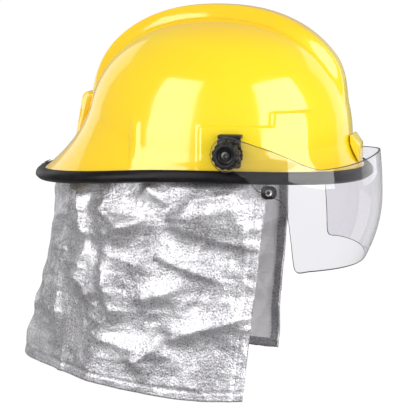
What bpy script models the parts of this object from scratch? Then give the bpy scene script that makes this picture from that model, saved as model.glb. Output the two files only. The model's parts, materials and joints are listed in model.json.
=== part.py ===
"""Firefighter helmet with a crest, a clear face visor, a rubber edge trim and a neck cape.

Frame: +X to the front, +Y to the wearer's left, +Z up. The origin is the centre of the head
opening, level with the middle of the edge trim at the sides. Metres throughout.
"""

import math

import bmesh
import bpy
from mathutils import Matrix, Vector

MM = 0.001
CLEAR = 0.4 * MM

# Shell
DOME_FRONT = 125 * MM
DOME_REAR = 122 * MM
DOME_SIDE = 112 * MM
DOME_RISE = 116 * MM
WAIST_Z = 20 * MM
DOME_POWER = 2.3
PLAN_POWER = 2.2
SHELL_THICK = 3 * MM
SHELL_RIBS = 40
# The brim's flare, as (front, side, rear): where it starts, its bend and its edge
FLARE_START_Z = (24 * MM, 21 * MM, 60 * MM)
FLARE_BEND = ((3 * MM, 9 * MM), (1 * MM, 9 * MM), (9 * MM, 22 * MM))
FLARE_EDGE = ((16 * MM, -4 * MM), (3 * MM, 0 * MM), (51 * MM, -9 * MM))

# Crest and side panels
CREST_HEIGHT = 11.5 * MM
CREST_HALF_FLAT = 13 * MM
CREST_HALF_BASE = 19.5 * MM
CREST_END_TILT = math.radians(80)
# Heights between which the crest dies out into the dome, at the front and at the rear
CREST_FADE_FRONT_Z = (50 * MM, 95 * MM)
CREST_FADE_REAR_Z = (25 * MM, 110 * MM)
# The lug on the back wall: half its width and its (x, z) outline
LUG_HALF = 12 * MM
LUG_SIDE = [(-118, 63), (-124, 65), (-128.5, 60.5), (-130, 53), (-135, 24), (-136.5, 19.5),
            (-134, 19.5), (-122, 48)]
PANEL_RAISE = 2.8 * MM
REAR_PANEL_RAISE = 1.2 * MM
PANEL_EDGE = 3 * MM

# Visor pivot
PIVOT_X = 33.5 * MM
PIVOT_Z = 21.5 * MM
BOLT_R = 3 * MM
BOLT_IN = 103 * MM
BOLT_OUT = 131.5 * MM
BRACKET_IN = 115.2 * MM
BRACKET_OUT = 121.2 * MM
BRACKET_WIDE = 20 * MM
WASHER_IN = 121.5 * MM
WASHER_OUT = 122.5 * MM
WASHER_R = 13.4 * MM
FLANGE_OUT = 122 * MM
NUT_IN, NUT_OUT, NUT_R = 103.2 * MM, 106.6 * MM, 6 * MM
BUSH_IN, BUSH_OUT = 122.9 * MM, 125.4 * MM
WASHER_TEETH = 12
KNOB_IN = 125.8 * MM
KNOB_OUT = 136 * MM
KNOB_R = 12.5 * MM
KNOB_LOBES = 12
RECESS_R = 7.5 * MM
RECESS_DEEP = 5 * MM

# Visor lens
LENS_Y = 124.6 * MM
LENS_THICK = 1.6 * MM
LENS_FLAT_X = 45 * MM
LENS_POWER = 2.2
EAR_R = 15.5 * MM
EAR_HOLE_R = 7 * MM
LENS_TOP_Z = 13.5 * MM
LENS_BOTTOM_Z = -85.5 * MM
LENS_FULLEST_Z = -30 * MM
LENS_FRONT_X = 153 * MM

# Soft cape
CAPE_TOP_Z = 1 * MM
CAPE_BOTTOM_Z = -200 * MM
CAPE_THICK = 2 * MM

# Head harness
BAND_FRONT = 94 * MM
BAND_SIDE = 76 * MM
BAND_LOW_Z = 8 * MM
BAND_HIGH_Z = 36 * MM
BAND_THICK = 1.6 * MM
LINER_GAP = 2 * MM
LINER_THICK = 16 * MM
LINER_LOW_Z = 29 * MM

# Size adjuster at the nape
RATCHET_X = -94 * MM
RATCHET_Z = 6 * MM
PINION_R = 4.2 * MM
TOOTH_DEEP = 1.1 * MM
SHAFT_R = 2.6 * MM
RACK_TALL = 7 * MM

# Chin strap
STRAP_X = 6 * MM
STRAP_WIDE = 20 * MM
STRAP_THICK = 1.8 * MM
ANCHOR_Y = 97 * MM
BUCKLE_Z = -122 * MM
BUCKLE_HALF_X = 13 * MM
BUCKLE_HALF_Z = 4.5 * MM
SOCKET_START_Y, SOCKET_END_Y = -24 * MM, 6 * MM

# Crown straps: (name, half span, top height, axis they run along)
CROWN_STRAPS = (("crown_strap_fore_aft", 91 * MM, 98.5 * MM, 0),
                ("crown_strap_cross", 73 * MM, 95.5 * MM, 1))
CROWN_STRAP_LOW_Z = 39 * MM
CROWN_STRAP_WIDE, CROWN_STRAP_THICK = 18 * MM, 1.4 * MM
CLIP_HALF_WIDE, CLIP_HALF_THICK = 12 * MM, 1.3 * MM
CLIP_LOW_Z, CLIP_HIGH_Z = 28 * MM, 44 * MM


def collection_named(name):
    made = bpy.data.collections.new(name)
    bpy.context.scene.collection.children.link(made)
    return made


def material(name, colour, roughness, metallic=0.0, transmission=0.0):
    made = bpy.data.materials.new(name)
    made.use_nodes = True
    shader = made.node_tree.nodes["Principled BSDF"]
    shader.inputs["Base Color"].default_value = (*colour, 1.0)
    shader.inputs["Roughness"].default_value = roughness
    shader.inputs["Metallic"].default_value = metallic
    shader.inputs["Transmission Weight"].default_value = transmission
    return made


def add_mesh(name, points, faces, look, home):
    """A mesh object from a loft's points and faces, with its faces turned outwards."""
    mesh = bpy.data.meshes.new(name)
    mesh.from_pydata([tuple(p) for p in points], [], faces)
    work = bmesh.new()
    work.from_mesh(mesh)
    bmesh.ops.remove_doubles(work, verts=work.verts, dist=1e-6)
    bmesh.ops.recalc_face_normals(work, faces=work.faces)
    work.to_mesh(mesh)
    work.free()
    mesh.materials.append(look)
    made = bpy.data.objects.new(name, mesh)
    home.objects.link(made)
    mesh.shade_smooth()
    return made


def grid_faces(rows, columns, wrap=False):
    """Quads of a grid of points stored row by row."""
    spans = columns if wrap else columns - 1
    faces = []
    for row in range(rows - 1):
        for column in range(spans):
            after = (column + 1) % columns
            faces.append((row * columns + column, row * columns + after,
                          (row + 1) * columns + after, (row + 1) * columns + column))
    return faces


def loft_ring(name, sections, look, home):
    """A closed ring swept through equal closed sections."""
    size = len(sections[0])
    points = [p for section in sections for p in section]
    points += list(sections[0])
    return add_mesh(name, points, grid_faces(len(sections) + 1, size, wrap=True), look, home)


def loft_bar(name, sections, look, home):
    """A bar swept through equal closed sections, closed at both ends."""
    size = len(sections[0])
    points = [p for section in sections for p in section]
    faces = grid_faces(len(sections), size, wrap=True)
    faces.append(tuple(range(size)))
    last = (len(sections) - 1) * size
    faces.append(tuple(last + i for i in range(size)))
    return add_mesh(name, points, faces, look, home)


def thicken(thing, thickness, offset):
    """Solidify: offset -1 grows the wall inwards, 1 outwards, 0 both ways."""
    solid = thing.modifiers.new("wall", "SOLIDIFY")
    solid.thickness = thickness
    solid.offset = offset
    return thing


def face_outwards(thing, centre):
    """Turn an open surface so that its normals point away from a centre."""
    mesh = thing.data
    facing = sum((Vector(f.center) - centre).dot(f.normal) for f in mesh.polygons)
    if facing < 0:
        mesh.flip_normals()
    return thing


def bevelled_box(name, low, high, radius, look, home):
    """A box between two corners with rounded edges."""
    bpy.ops.mesh.primitive_cube_add(size=1)
    made = bpy.context.object
    made.name = name
    low, high = Vector(low), Vector(high)
    made.data.transform(Matrix.Diagonal((*(high - low), 1)))
    made.location = (low + high) / 2
    made.data.materials.append(look)
    if radius:
        bevel = made.modifiers.new("edges", "BEVEL")
        bevel.width = radius
        bevel.segments = 1
    return rehome(made, home)


def rehome(made, home):
    for old in list(made.users_collection):
        old.objects.unlink(made)
    home.objects.link(made)
    return made


def cylinder_along(name, axis, start, end, centre, radius, look, home, sides=20):
    """A cylinder along X or Y between two stations of that axis."""
    bpy.ops.mesh.primitive_cylinder_add(vertices=sides, radius=radius, depth=abs(end - start))
    made = bpy.context.object
    made.name = name
    turn = Matrix.Rotation(math.pi / 2, 4, "X" if axis == "Y" else "Y")
    made.data.transform(turn)
    made.location = centre
    made.location["XYZ".index(axis)] = (start + end) / 2
    made.data.materials.append(look)
    made.data.shade_smooth()
    made.data.set_sharp_from_angle(angle=math.radians(40))
    return rehome(made, home)


def cut(thing, cutter):
    boolean = thing.modifiers.new("cut", "BOOLEAN")
    boolean.object = cutter
    boolean.operation = "DIFFERENCE"
    boolean.solver = "EXACT"


def as_cutter(thing):
    thing.hide_render = True
    thing.display_type = "WIRE"
    return thing


def signed_power(value, power):
    return math.copysign(abs(value) ** power, value)


def ease(value):
    """0 below 0, 1 above 1, smooth between."""
    value = min(max(value, 0.0), 1.0)
    return value * value * (3 - 2 * value)


def mix(theta, front, side, rear):
    """A quantity given at the front, sides and rear, mixed for one plan angle."""
    facing = math.cos(theta)
    ahead = max(facing, 0.0) ** 2
    behind = max(-facing, 0.0) ** 2
    return ahead * front + behind * rear + (1 - ahead - behind) * side


def oval(theta, front, rear, side, power=PLAN_POWER):
    length = front if math.cos(theta) >= 0 else rear
    return (length * signed_power(math.cos(theta), 2 / power),
            side * signed_power(math.sin(theta), 2 / power))


def shell_base(theta, v):
    """The shell's outer surface without relief: v 0 crown, 1 where the flare starts, 2 edge."""
    start_z = mix(theta, *FLARE_START_Z)
    lowest = math.acos(((start_z - WAIST_Z) / DOME_RISE) ** (DOME_POWER / 2))
    tilt = lowest * min(v, 1.0)
    plan_x, plan_y = oval(theta, DOME_FRONT, DOME_REAR, DOME_SIDE)
    grow = math.sin(tilt) ** (2 / DOME_POWER)
    z = WAIST_Z + DOME_RISE * math.cos(tilt) ** (2 / DOME_POWER)
    point = Vector((plan_x * grow, plan_y * grow, z))
    if v <= 1.0:
        return point
    u = v - 1.0
    bend_out, bend_z = (mix(theta, *pair) for pair in zip(*FLARE_BEND))
    edge_out, edge_z = (mix(theta, *pair) for pair in zip(*FLARE_EDGE))
    out = 2 * u * (1 - u) * bend_out + u * u * edge_out
    z = (1 - u) ** 2 * start_z + 2 * u * (1 - u) * bend_z + u * u * edge_z
    away = Vector((math.cos(theta) / DOME_FRONT, math.sin(theta) / DOME_SIDE, 0)).normalized()
    return Vector((point.x, point.y, 0)) + away * out + Vector((0, 0, z))


def shell_normal(theta, v):
    """Unit outward normal of the base surface."""
    step = 1e-3
    if v < step:
        return Vector((0, 0, 1))
    low, high = max(v - step, 0.0), min(v + step, 2.0)
    around = shell_base(theta + step, v) - shell_base(theta - step, v)
    down = shell_base(theta, high) - shell_base(theta, low)
    return down.cross(around).normalized()


def box_weight(value, low, high, edge):
    """1 inside low to high, 0 outside, with soft edges."""
    return ease((value - low) / edge + 0.5) * ease((high - value) / edge + 0.5)


def relief(point):
    """How far the moulded side panels stand out of the base surface."""
    x, y, z = point
    beside = ease((abs(y) - 60 * MM) / (20 * MM))
    rear_panel = REAR_PANEL_RAISE * box_weight(x, -52 * MM, 10 * MM, PANEL_EDGE)
    rear_panel *= box_weight(z, 12 * MM, 45 * MM, PANEL_EDGE)
    knob_panel = PANEL_RAISE * box_weight(x, 5 * MM, 72 * MM, PANEL_EDGE)
    knob_panel *= box_weight(z, 10 * MM, 44 * MM, PANEL_EDGE)
    front_panel = PANEL_RAISE * box_weight(x, 67 * MM, 104 * MM, 2 * PANEL_EDGE)
    front_panel *= box_weight(z, 10 * MM, 56 * MM, PANEL_EDGE)
    return beside * max(rear_panel, knob_panel, front_panel)


def shell_point(theta, v, stand_off=0.0):
    base = shell_base(theta, v)
    return base + shell_normal(theta, v) * (relief(base) + stand_off)


def shell_angles():
    """Plan angles of the shell's ribs, all the way round."""
    return [2 * math.pi * i / SHELL_RIBS for i in range(SHELL_RIBS)]


def crest_bar(name, under, look, home):
    """The crest's solid from brim to brim over the top, its outside lowered by an amount."""
    stations = 25
    sections = []
    for i in range(stations):
        turn = CREST_END_TILT * (1 - 2 * i / (stations - 1))
        theta = 0.0 if turn >= 0 else math.pi
        tilt = abs(turn)
        length = DOME_FRONT if turn >= 0 else DOME_REAR
        grow = math.sin(tilt) ** (2 / DOME_POWER)
        rise = math.cos(tilt) ** (2 / DOME_POWER)
        foot = Vector((math.cos(theta) * length * grow, 0, WAIST_Z + DOME_RISE * rise))
        out = Vector((math.cos(theta) * grow ** (DOME_POWER - 1) / length, 0,
                      rise ** (DOME_POWER - 1) / DOME_RISE)).normalized()
        low_z, high_z = CREST_FADE_FRONT_Z if turn >= 0 else CREST_FADE_REAR_Z
        fade = ease((foot.z - low_z) / (high_z - low_z))
        top = CREST_HEIGHT * math.sqrt(rise) * fade - under
        flat, base = CREST_HALF_FLAT - under, CREST_HALF_BASE - under
        floor = -2.4 * MM if not under else -SHELL_THICK - 4 * MM
        middle = -1.4 * MM if not under else floor
        outline = [(-base, floor), (-flat, top), (0, top + 0.4 * MM), (flat, top), (base, floor),
                   (0, middle)]
        sections.append([foot + out * high + Vector((0, wide, 0)) for wide, high in outline])
    return loft_bar(name, sections, look, home)


def outer_shell(look, home, cutters):
    """The dome and brim as one wall, with the hollow crest joined on top."""
    angles = shell_angles()
    stations = [0.0, 0.1, 0.2, 0.32, 0.44, 0.56, 0.68, 0.8, 0.9, 1.0, 1.2, 1.4, 1.6, 1.8, 2.0]
    points = [shell_point(theta, v) for v in stations for theta in angles]
    made = add_mesh("outer_shell", points, grid_faces(len(stations), len(angles), wrap=True),
                    look, home)
    face_outwards(made, Vector((0, 0, 0.03)))
    thicken(made, SHELL_THICK, -1)
    crest = as_cutter(crest_bar("crest_outside", 0.0, look, cutters))
    join = made.modifiers.new("crest", "BOOLEAN")
    join.object = crest
    join.operation = "UNION"
    join.solver = "EXACT"
    cut(made, as_cutter(crest_bar("crest_inside", SHELL_THICK, look, cutters)))
    lug = as_cutter(loft_bar("rear_lug", [[Vector((x * MM, y, z * MM)) for x, z in LUG_SIDE]
                                          for y in (-LUG_HALF, LUG_HALF)], look, cutters))
    join = made.modifiers.new("lug", "BOOLEAN")
    join.object = lug
    join.operation = "UNION"
    join.solver = "EXACT"
    return made


def rim_section(theta, outline):
    """An outline of (along the wall, out of the wall) set on the shell's edge."""
    edge = shell_point(theta, 2.0)
    out = shell_normal(theta, 2.0)
    down = (shell_base(theta, 2.0) - shell_base(theta, 1.98)).normalized()
    return [edge + down * along + out * away for along, away in outline]


def trim_outline():
    """A channel that grips the shell's edge: slot walls, then the rounded outside."""
    slot_out, slot_in = 0.6 * MM, -SHELL_THICK - 0.6 * MM
    lip, floor = -6 * MM, 0.6 * MM
    outside = [(-6, 2.2), (-3.5, 3.4), (0.5, 3.5), (3.3, 1.9), (4.4, -1.5),
               (3.3, -4.9), (0.5, -6.5), (-3.5, -6.4), (-6, -5.2)]
    return ([(floor, slot_in), (floor, slot_out), (lip, slot_out)]
            + [(a * MM, b * MM) for a, b in outside] + [(lip, slot_in)])


def edge_trim(look, home):
    sections = [rim_section(theta, trim_outline()) for theta in shell_angles()]
    return loft_ring("edge_trim", sections, look, home)


def trim_joint_clip(look, home):
    """A sheet metal clip wrapped round the trim where its ends meet at the rear."""
    wrap = [(-4.5, 3.9), (0.5, 4.2), (3.8, 2.5), (5.2, -1.5), (3.8, -5.5), (0.5, -7.2), (-4.5, -7.1)]
    outer = [(-4.5, 4.6), (0.7, 4.9), (4.3, 3.0), (6.0, -1.5), (4.3, -6.0), (0.7, -7.9), (-4.5, -7.8)]
    outline = [(a * MM, b * MM) for a, b in wrap + outer[::-1]]
    sections = []
    for degrees in (177.5, 182.5):
        sections.append(rim_section(math.radians(degrees), outline))
    return loft_bar("trim_joint_clip", sections, look, home)


def front_badge_plate(look, home):
    """A flat-faced moulded block at the front centre, sloped on top, standing on the brim."""
    half = 17 * MM
    side = [(134.4, 5.6), (134.4, 20.5), (127.6, 29.5), (125.4, 29.5), (125.8, 22), (128.6, 14.5),
            (133, 6)]
    sections = []
    for y, narrow in ((-half, 1.4), (-half + 3 * MM, 0.0), (half - 3 * MM, 0.0), (half, 1.4)):
        sections.append([Vector((x * MM - (narrow * MM if x > 134 else 0), y, z * MM))
                         for x, z in side])
    return loft_bar("front_badge_plate", sections, look, home)


def shrunk_dome(theta, tilt, inset):
    """The dome's inside at an even inset, used by the liner."""
    plan_x, plan_y = oval(theta, DOME_FRONT - inset, DOME_REAR - inset, DOME_SIDE - inset)
    grow = math.sin(tilt) ** (2 / DOME_POWER)
    z = WAIST_Z + (DOME_RISE - inset) * math.cos(tilt) ** (2 / DOME_POWER)
    return Vector((plan_x * grow, plan_y * grow, z))


def impact_liner(look, home):
    ribs, rings = 32, 9
    inset = SHELL_THICK + LINER_GAP
    lowest = math.acos(((LINER_LOW_Z - WAIST_Z) / (DOME_RISE - inset)) ** (DOME_POWER / 2))
    points = []
    for ring in range(rings):
        for rib in range(ribs):
            points.append(shrunk_dome(2 * math.pi * rib / ribs, lowest * ring / (rings - 1), inset))
    made = add_mesh("impact_liner", points, grid_faces(rings, ribs, wrap=True), look, home)
    face_outwards(made, Vector((0, 0, 0.03)))
    return thicken(made, LINER_THICK, -1)


def crown_pad(look, home):
    bpy.ops.mesh.primitive_cylinder_add(vertices=24, radius=34 * MM, depth=6 * MM)
    made = bpy.context.object
    made.name = "crown_pad"
    made.location = (0, 0, 103 * MM)
    made.data.materials.append(look)
    bevel = made.modifiers.new("edges", "BEVEL")
    bevel.width = 2 * MM
    bevel.segments = 1
    bevel.limit_method = "ANGLE"
    return rehome(made, home)


def band_point(theta, stand_off=0.0):
    return oval(theta, BAND_FRONT + stand_off, BAND_FRONT + stand_off, BAND_SIDE + stand_off)


def hoop(name, start, end, steps, stand_off, low_z, high_z, thickness, look, home):
    """An upright band round the head between two plan angles in degrees."""
    points = []
    for z in (low_z, high_z):
        for i in range(steps + 1):
            x, y = band_point(math.radians(start + (end - start) * i / steps), stand_off)
            points.append(Vector((x, y, z)))
    made = add_mesh(name, points, grid_faces(2, steps + 1), look, home)
    return thicken(made, thickness, 0)


def strap(name, centres, across, width, thickness, look, home):
    """A flat strap along a route; across is its width direction."""
    points = []
    for sign in (-0.5, 0.5):
        for centre in centres:
            points.append(Vector(centre) + Vector(across) * sign * width)
    made = add_mesh(name, points, grid_faces(2, len(centres)), look, home)
    return thicken(made, thickness, 0)


def crown_straps(look, home):
    """Two webbing straps crossing over the head, one above the other."""
    steps = 16
    for name, reach, peak, axis in CROWN_STRAPS:
        rise = peak - CROWN_STRAP_LOW_Z
        route = []
        for i in range(steps + 1):
            turn = math.pi * i / steps
            place = [0, 0, CROWN_STRAP_LOW_Z + rise * math.sin(turn)]
            place[axis] = reach * math.cos(turn)
            route.append(place)
        across = (0, 1, 0) if axis == 0 else (1, 0, 0)
        strap(name, route, across, CROWN_STRAP_WIDE, CROWN_STRAP_THICK, look, home)


def suspension_clips(look, home):
    """Four clips that hang the crown straps on the headband."""
    for name, x, y in (("suspension_clip_front", 1, 0), ("suspension_clip_rear", -1, 0),
                       ("suspension_clip_left", 0, 1), ("suspension_clip_right", 0, -1)):
        reach = (BAND_FRONT if x else BAND_SIDE) + 2.6 * MM
        half_x = CLIP_HALF_THICK if x else CLIP_HALF_WIDE
        half_y = CLIP_HALF_WIDE if x else CLIP_HALF_THICK
        low = (x * reach - half_x, y * reach - half_y, CLIP_LOW_Z)
        high = (x * reach + half_x, y * reach + half_y, CLIP_HIGH_Z)
        bevelled_box(name, low, high, 0.8 * MM, look, home)


def size_adjuster(plastic, foam, home, cutters):
    """Base plate, cover, pinion, knob and the two toothed band tails at the nape."""
    bevelled_box("ratchet_base", (RATCHET_X + 3 * MM, -20 * MM, RATCHET_Z - 15 * MM),
                 (RATCHET_X + 5 * MM, 20 * MM, RATCHET_Z + 15 * MM), 0.6 * MM, plastic, home)
    cover = bevelled_box("ratchet_cover", (RATCHET_X - 16 * MM, -26 * MM, RATCHET_Z - 15 * MM),
                         (RATCHET_X + 2.6 * MM, 26 * MM, RATCHET_Z + 15 * MM), 2 * MM, plastic, home)
    hollow = as_cutter(bevelled_box("ratchet_hollow",
                                    (RATCHET_X - 13 * MM, -30 * MM, RATCHET_Z - 13 * MM),
                                    (RATCHET_X + 6 * MM, 30 * MM, RATCHET_Z + 13 * MM), 0, plastic,
                                    cutters))
    cut(cover, hollow)
    bore = as_cutter(cylinder_along("ratchet_bore", "X", RATCHET_X - 20 * MM, RATCHET_X - 8 * MM,
                                    (0, 0, RATCHET_Z), 3.6 * MM, plastic, cutters))
    cut(cover, bore)
    gear("ratchet_pinion", RATCHET_X - 16.5 * MM, RATCHET_X - 5 * MM, RATCHET_X + 2 * MM, plastic,
         home)
    knob = lobed_knob("ratchet_knob", 13 * MM, 10, 0.9 * MM, plastic, home)
    knob.data.transform(Matrix.Rotation(-math.pi / 2, 4, "Y"))
    knob.location = (RATCHET_X - 16.8 * MM, 0, RATCHET_Z)
    for side, sign in (("right", -1), ("left", 1)):
        middle = RATCHET_Z - sign * (PINION_R + 0.6 * MM + RACK_TALL / 2)
        flat_x = RATCHET_X + 0.5 * MM
        route = [(flat_x, sign * -14 * MM), (flat_x, sign * 30 * MM),
                 (flat_x + 2 * MM, sign * 35 * MM), (flat_x + 5 * MM, sign * 40 * MM),
                 (flat_x + 9 * MM, sign * 45 * MM)]
        points = []
        for z in (middle - RACK_TALL / 2, middle + RACK_TALL / 2):
            points += [Vector((x, y, z)) for x, y in route]
        tail = add_mesh("band_tail_" + side, points, grid_faces(2, len(route)), plastic, home)
        thicken(tail, 1.6 * MM, 0)
    bevelled_box("nape_pad", (RATCHET_X + 5.6 * MM, -24 * MM, RATCHET_Z - 14 * MM),
                 (RATCHET_X + 11 * MM, 24 * MM, RATCHET_Z + 14 * MM), 2 * MM, foam, home)


def gear(name, shaft_start, start, end, look, home):
    """A small pinion along X, with a round shaft that runs out through the cover."""
    teeth = 10
    sections = []
    for x, toothed in ((shaft_start, False), (start, False), (start, True), (end, True)):
        ring = []
        for i in range(teeth * 2):
            turn = math.pi * i / teeth
            radius = SHAFT_R
            if toothed:
                radius = PINION_R if i % 2 else PINION_R - TOOTH_DEEP
            ring.append(Vector((x - RATCHET_X, radius * math.sin(turn), radius * math.cos(turn))))
        sections.append(ring)
    made = loft_bar(name, sections, look, home)
    made.location = (RATCHET_X, 0, RATCHET_Z)
    return made


def lobed_knob(name, radius, lobes, depth, look, home):
    """A hand knob along +Z from its flat back, with lobes round its edge."""
    sections = []
    for z, shrink in ((0, 0.8 * MM), (1 * MM, 0), (8 * MM, 0), (10 * MM, 1.4 * MM)):
        ring = []
        for i in range(lobes * 4):
            turn = 2 * math.pi * i / (lobes * 4)
            reach = radius - shrink - depth * (0.5 - 0.5 * math.cos(lobes * turn))
            ring.append(Vector((reach * math.cos(turn), reach * math.sin(turn), z)))
        sections.append(ring)
    return loft_bar(name, sections, look, home)


def pivot_set(side, sign, looks, home, cutters):
    """Everything clamped on one visor pivot, from the nut inside to the knob outside."""
    centre = (PIVOT_X, 0, PIVOT_Z)

    def disc(name, start, end, radius, look, where=home, sides=20):
        return cylinder_along(name, "Y", sign * start, sign * end, centre, radius, look, where, sides)

    bore = as_cutter(disc("bolt_bore_" + side, 95 * MM, 140 * MM, BOLT_R + CLEAR, looks["steel"],
                          cutters))
    disc("pivot_bolt_" + side, BOLT_IN, BOLT_OUT, BOLT_R, looks["steel"])
    nut = disc("pivot_nut_" + side, NUT_IN, NUT_OUT, NUT_R, looks["steel"], sides=6)
    cut(nut, bore)
    half = BRACKET_WIDE / 2
    low_y, high_y = sorted((sign * BRACKET_IN, sign * BRACKET_OUT))
    bracket = bevelled_box("pivot_bracket_" + side, (PIVOT_X - half, low_y, PIVOT_Z - 12 * MM),
                           (PIVOT_X + half, high_y, PIVOT_Z + 13.2 * MM), 1.2 * MM,
                           looks["black"], home)
    cut(bracket, bore)
    low_y, high_y = sorted((sign * BRACKET_IN, sign * FLANGE_OUT))
    bevelled_box("bracket_flange_" + side, (PIVOT_X - half + 0.5 * MM, low_y, PIVOT_Z + 13.6 * MM),
                 (PIVOT_X + half + 1 * MM, high_y, PIVOT_Z + 16.8 * MM), 0.8 * MM,
                 looks["black"], home)
    sections = []
    for y in (WASHER_IN, WASHER_OUT):
        ring = []
        for i in range(WASHER_TEETH * 4):
            turn = 2 * math.pi * i / (WASHER_TEETH * 4)
            reach = WASHER_R - (1.4 * MM if i % 4 in (0, 1) else 0)
            ring.append(Vector((PIVOT_X + reach * math.cos(turn), sign * y,
                                PIVOT_Z + reach * math.sin(turn))))
        sections.append(ring)
    washer = loft_bar("pivot_washer_" + side, sections, looks["steel"], home)
    cut(washer, bore)
    bush = disc("visor_bush_" + side, BUSH_IN, BUSH_OUT, EAR_HOLE_R - CLEAR, looks["black"],
                sides=24)
    cut(bush, bore)
    knob = lobed_knob("visor_knob_" + side, KNOB_R, KNOB_LOBES, 1.1 * MM, looks["black"], home)
    knob.data.transform(Matrix.Rotation(-sign * math.pi / 2, 4, "X"))
    knob.location = (PIVOT_X, sign * KNOB_IN, PIVOT_Z)
    recess = as_cutter(disc("knob_recess_" + side, KNOB_OUT - RECESS_DEEP, KNOB_OUT + 5 * MM,
                            RECESS_R, looks["black"], cutters, 24))
    cut(knob, recess)
    cut(knob, bore)
    return bore


def lens_front(z):
    """How far forward the lens reaches at one height."""
    rise = z - LENS_FULLEST_Z
    return LENS_FRONT_X - (1.4 if rise > 0 else 4.6) * rise * rise


def lens_half_width(z):
    return LENS_Y - 1.1 * min(z, 0.0) ** 2


def lens_share(x, z):
    """Where a side-view point sits round the wrap: 0 at the end of the flat ear, 1 at the front."""
    if x <= LENS_FLAT_X:
        return 0.0
    part = min((x - LENS_FLAT_X) / (lens_front(z) - LENS_FLAT_X), 1.0)
    return math.asin(part ** (LENS_POWER / 2)) * 2 / math.pi


def lens_point(x, share, z):
    """A point of the lens's outer face on the wearer's left, from its place round the wrap."""
    if share <= 0.0:
        return Vector((x, lens_half_width(z), z))
    turn = share * math.pi / 2
    reach = lens_front(z) - LENS_FLAT_X
    return Vector((LENS_FLAT_X + reach * math.sin(turn) ** (2 / LENS_POWER),
                   lens_half_width(z) * math.cos(turn) ** (2 / LENS_POWER), z))


def lens_outline():
    """Pairs of (x, share, z) along the upper and lower edges, from the ear's back to the front."""
    upper, lower = [], []
    for degrees in (180, 150, 120, 95, 70):
        turn = math.radians(degrees)
        x = PIVOT_X + EAR_R * math.cos(turn)
        upper.append((x, PIVOT_Z + EAR_R * math.sin(turn)))
        lower.append((x, PIVOT_Z - EAR_R * math.sin(turn)))
    upper += [(x * MM, z * MM) for x, z in ((42.7, 34.7), (50, 32.3), (57.5, 29.8), (63.5, 28),
                                            (69.4, 26.1), (77, 23), (84.5, 19.7), (90, 17),
                                            (95, 14.2), (100.5, 11.7), (106.4, 9.5), (112, 8))]
    lower += [(x * MM, z * MM) for x, z in ((46.5, 3), (50.6, 0), (55, -4.3), (60.2, -9.8),
                                            (67, -11.5), (72.7, -15), (80.2, -19.5), (84.3, -27.4),
                                            (86, -38), (87.5, -53.2), (89.2, -74), (92, -83))]
    upper = [(x, lens_share(x, z), z) for x, z in upper]
    lower = [(x, lens_share(x, z), z) for x, z in lower]
    steps = 9
    for line, last_z in ((upper, LENS_TOP_Z), (lower, LENS_BOTTOM_Z)):
        start_share, start_z = line[-1][1], line[-1][2]
        for i in range(1, steps + 1):
            part = i / steps
            line.append((None, start_share + (1 - start_share) * part,
                         start_z + (last_z - start_z) * ease(part)))
    return upper, lower


def visor_lens(look, home, bores):
    upper, lower = lens_outline()
    rows = 6
    half = []
    for row in range(rows + 1):
        part = row / rows
        line = []
        for (x0, s0, z0), (x1, s1, z1) in zip(lower, upper):
            z = z0 + (z1 - z0) * part
            share = s0 + (s1 - s0) * part
            x = None if share > 0 else x0 + (x1 - x0) * part
            line.append(lens_point(x, share, z))
        half.append(line)
    points = []
    for line in half:
        points += [Vector((p.x, -p.y, p.z)) for p in line] + list(reversed(line[:-1]))
    made = add_mesh("visor_lens", points, grid_faces(rows + 1, 2 * len(upper) - 1), look, home)
    face_outwards(made, Vector((0.03, 0, -0.03)))
    thicken(made, LENS_THICK, -1)
    for hole in bores:
        cut(made, hole)
    return made


def cape_point(theta, down, stand_off=0.0):
    """The cape's outer face: theta round from the front, down 0 at its top and 1 at its hem."""
    rear = 148 * MM + 36 * MM * down
    side = 106 * MM + 6 * MM * ease(4 * down)
    x, y = oval(theta, 150 * MM, rear, side, 2.1)
    z = CAPE_TOP_Z + (CAPE_BOTTOM_Z - CAPE_TOP_Z) * down
    flat = math.hypot(x, y)
    grow = (flat + stand_off) / flat
    return Vector((x * grow, y * grow, z))


def neck_cape(look, home):
    """An open sheet round the back of the neck, from one temple to the other."""
    columns, rows = 27, 6
    points = []
    for row in range(rows):
        down = row / (rows - 1)
        start = -65 - 7.5 * down
        end = -289 + 4.5 * down
        for column in range(columns):
            degrees = start + (end - start) * column / (columns - 1)
            points.append(cape_point(math.radians(degrees), down))
    made = add_mesh("neck_cape", points, grid_faces(rows, columns), look, home)
    face_outwards(made, Vector((-0.02, 0, -0.1)))
    return thicken(made, CAPE_THICK, -1)


def cape_band(look, home):
    """The band inside the cape's top that holds it to the rim."""
    columns = 25
    points = []
    for z in (-9 * MM, 5 * MM):
        for column in range(columns):
            degrees = -68 - 224 * column / (columns - 1)
            at = cape_point(math.radians(degrees), 0.0, -CAPE_THICK - 1 * MM)
            points.append(Vector((at.x, at.y, z)))
    made = add_mesh("cape_fixing_band", points, grid_faces(2, columns), look, home)
    face_outwards(made, Vector((-0.02, 0, 0)))
    return thicken(made, 1.6 * MM, -1)


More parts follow.
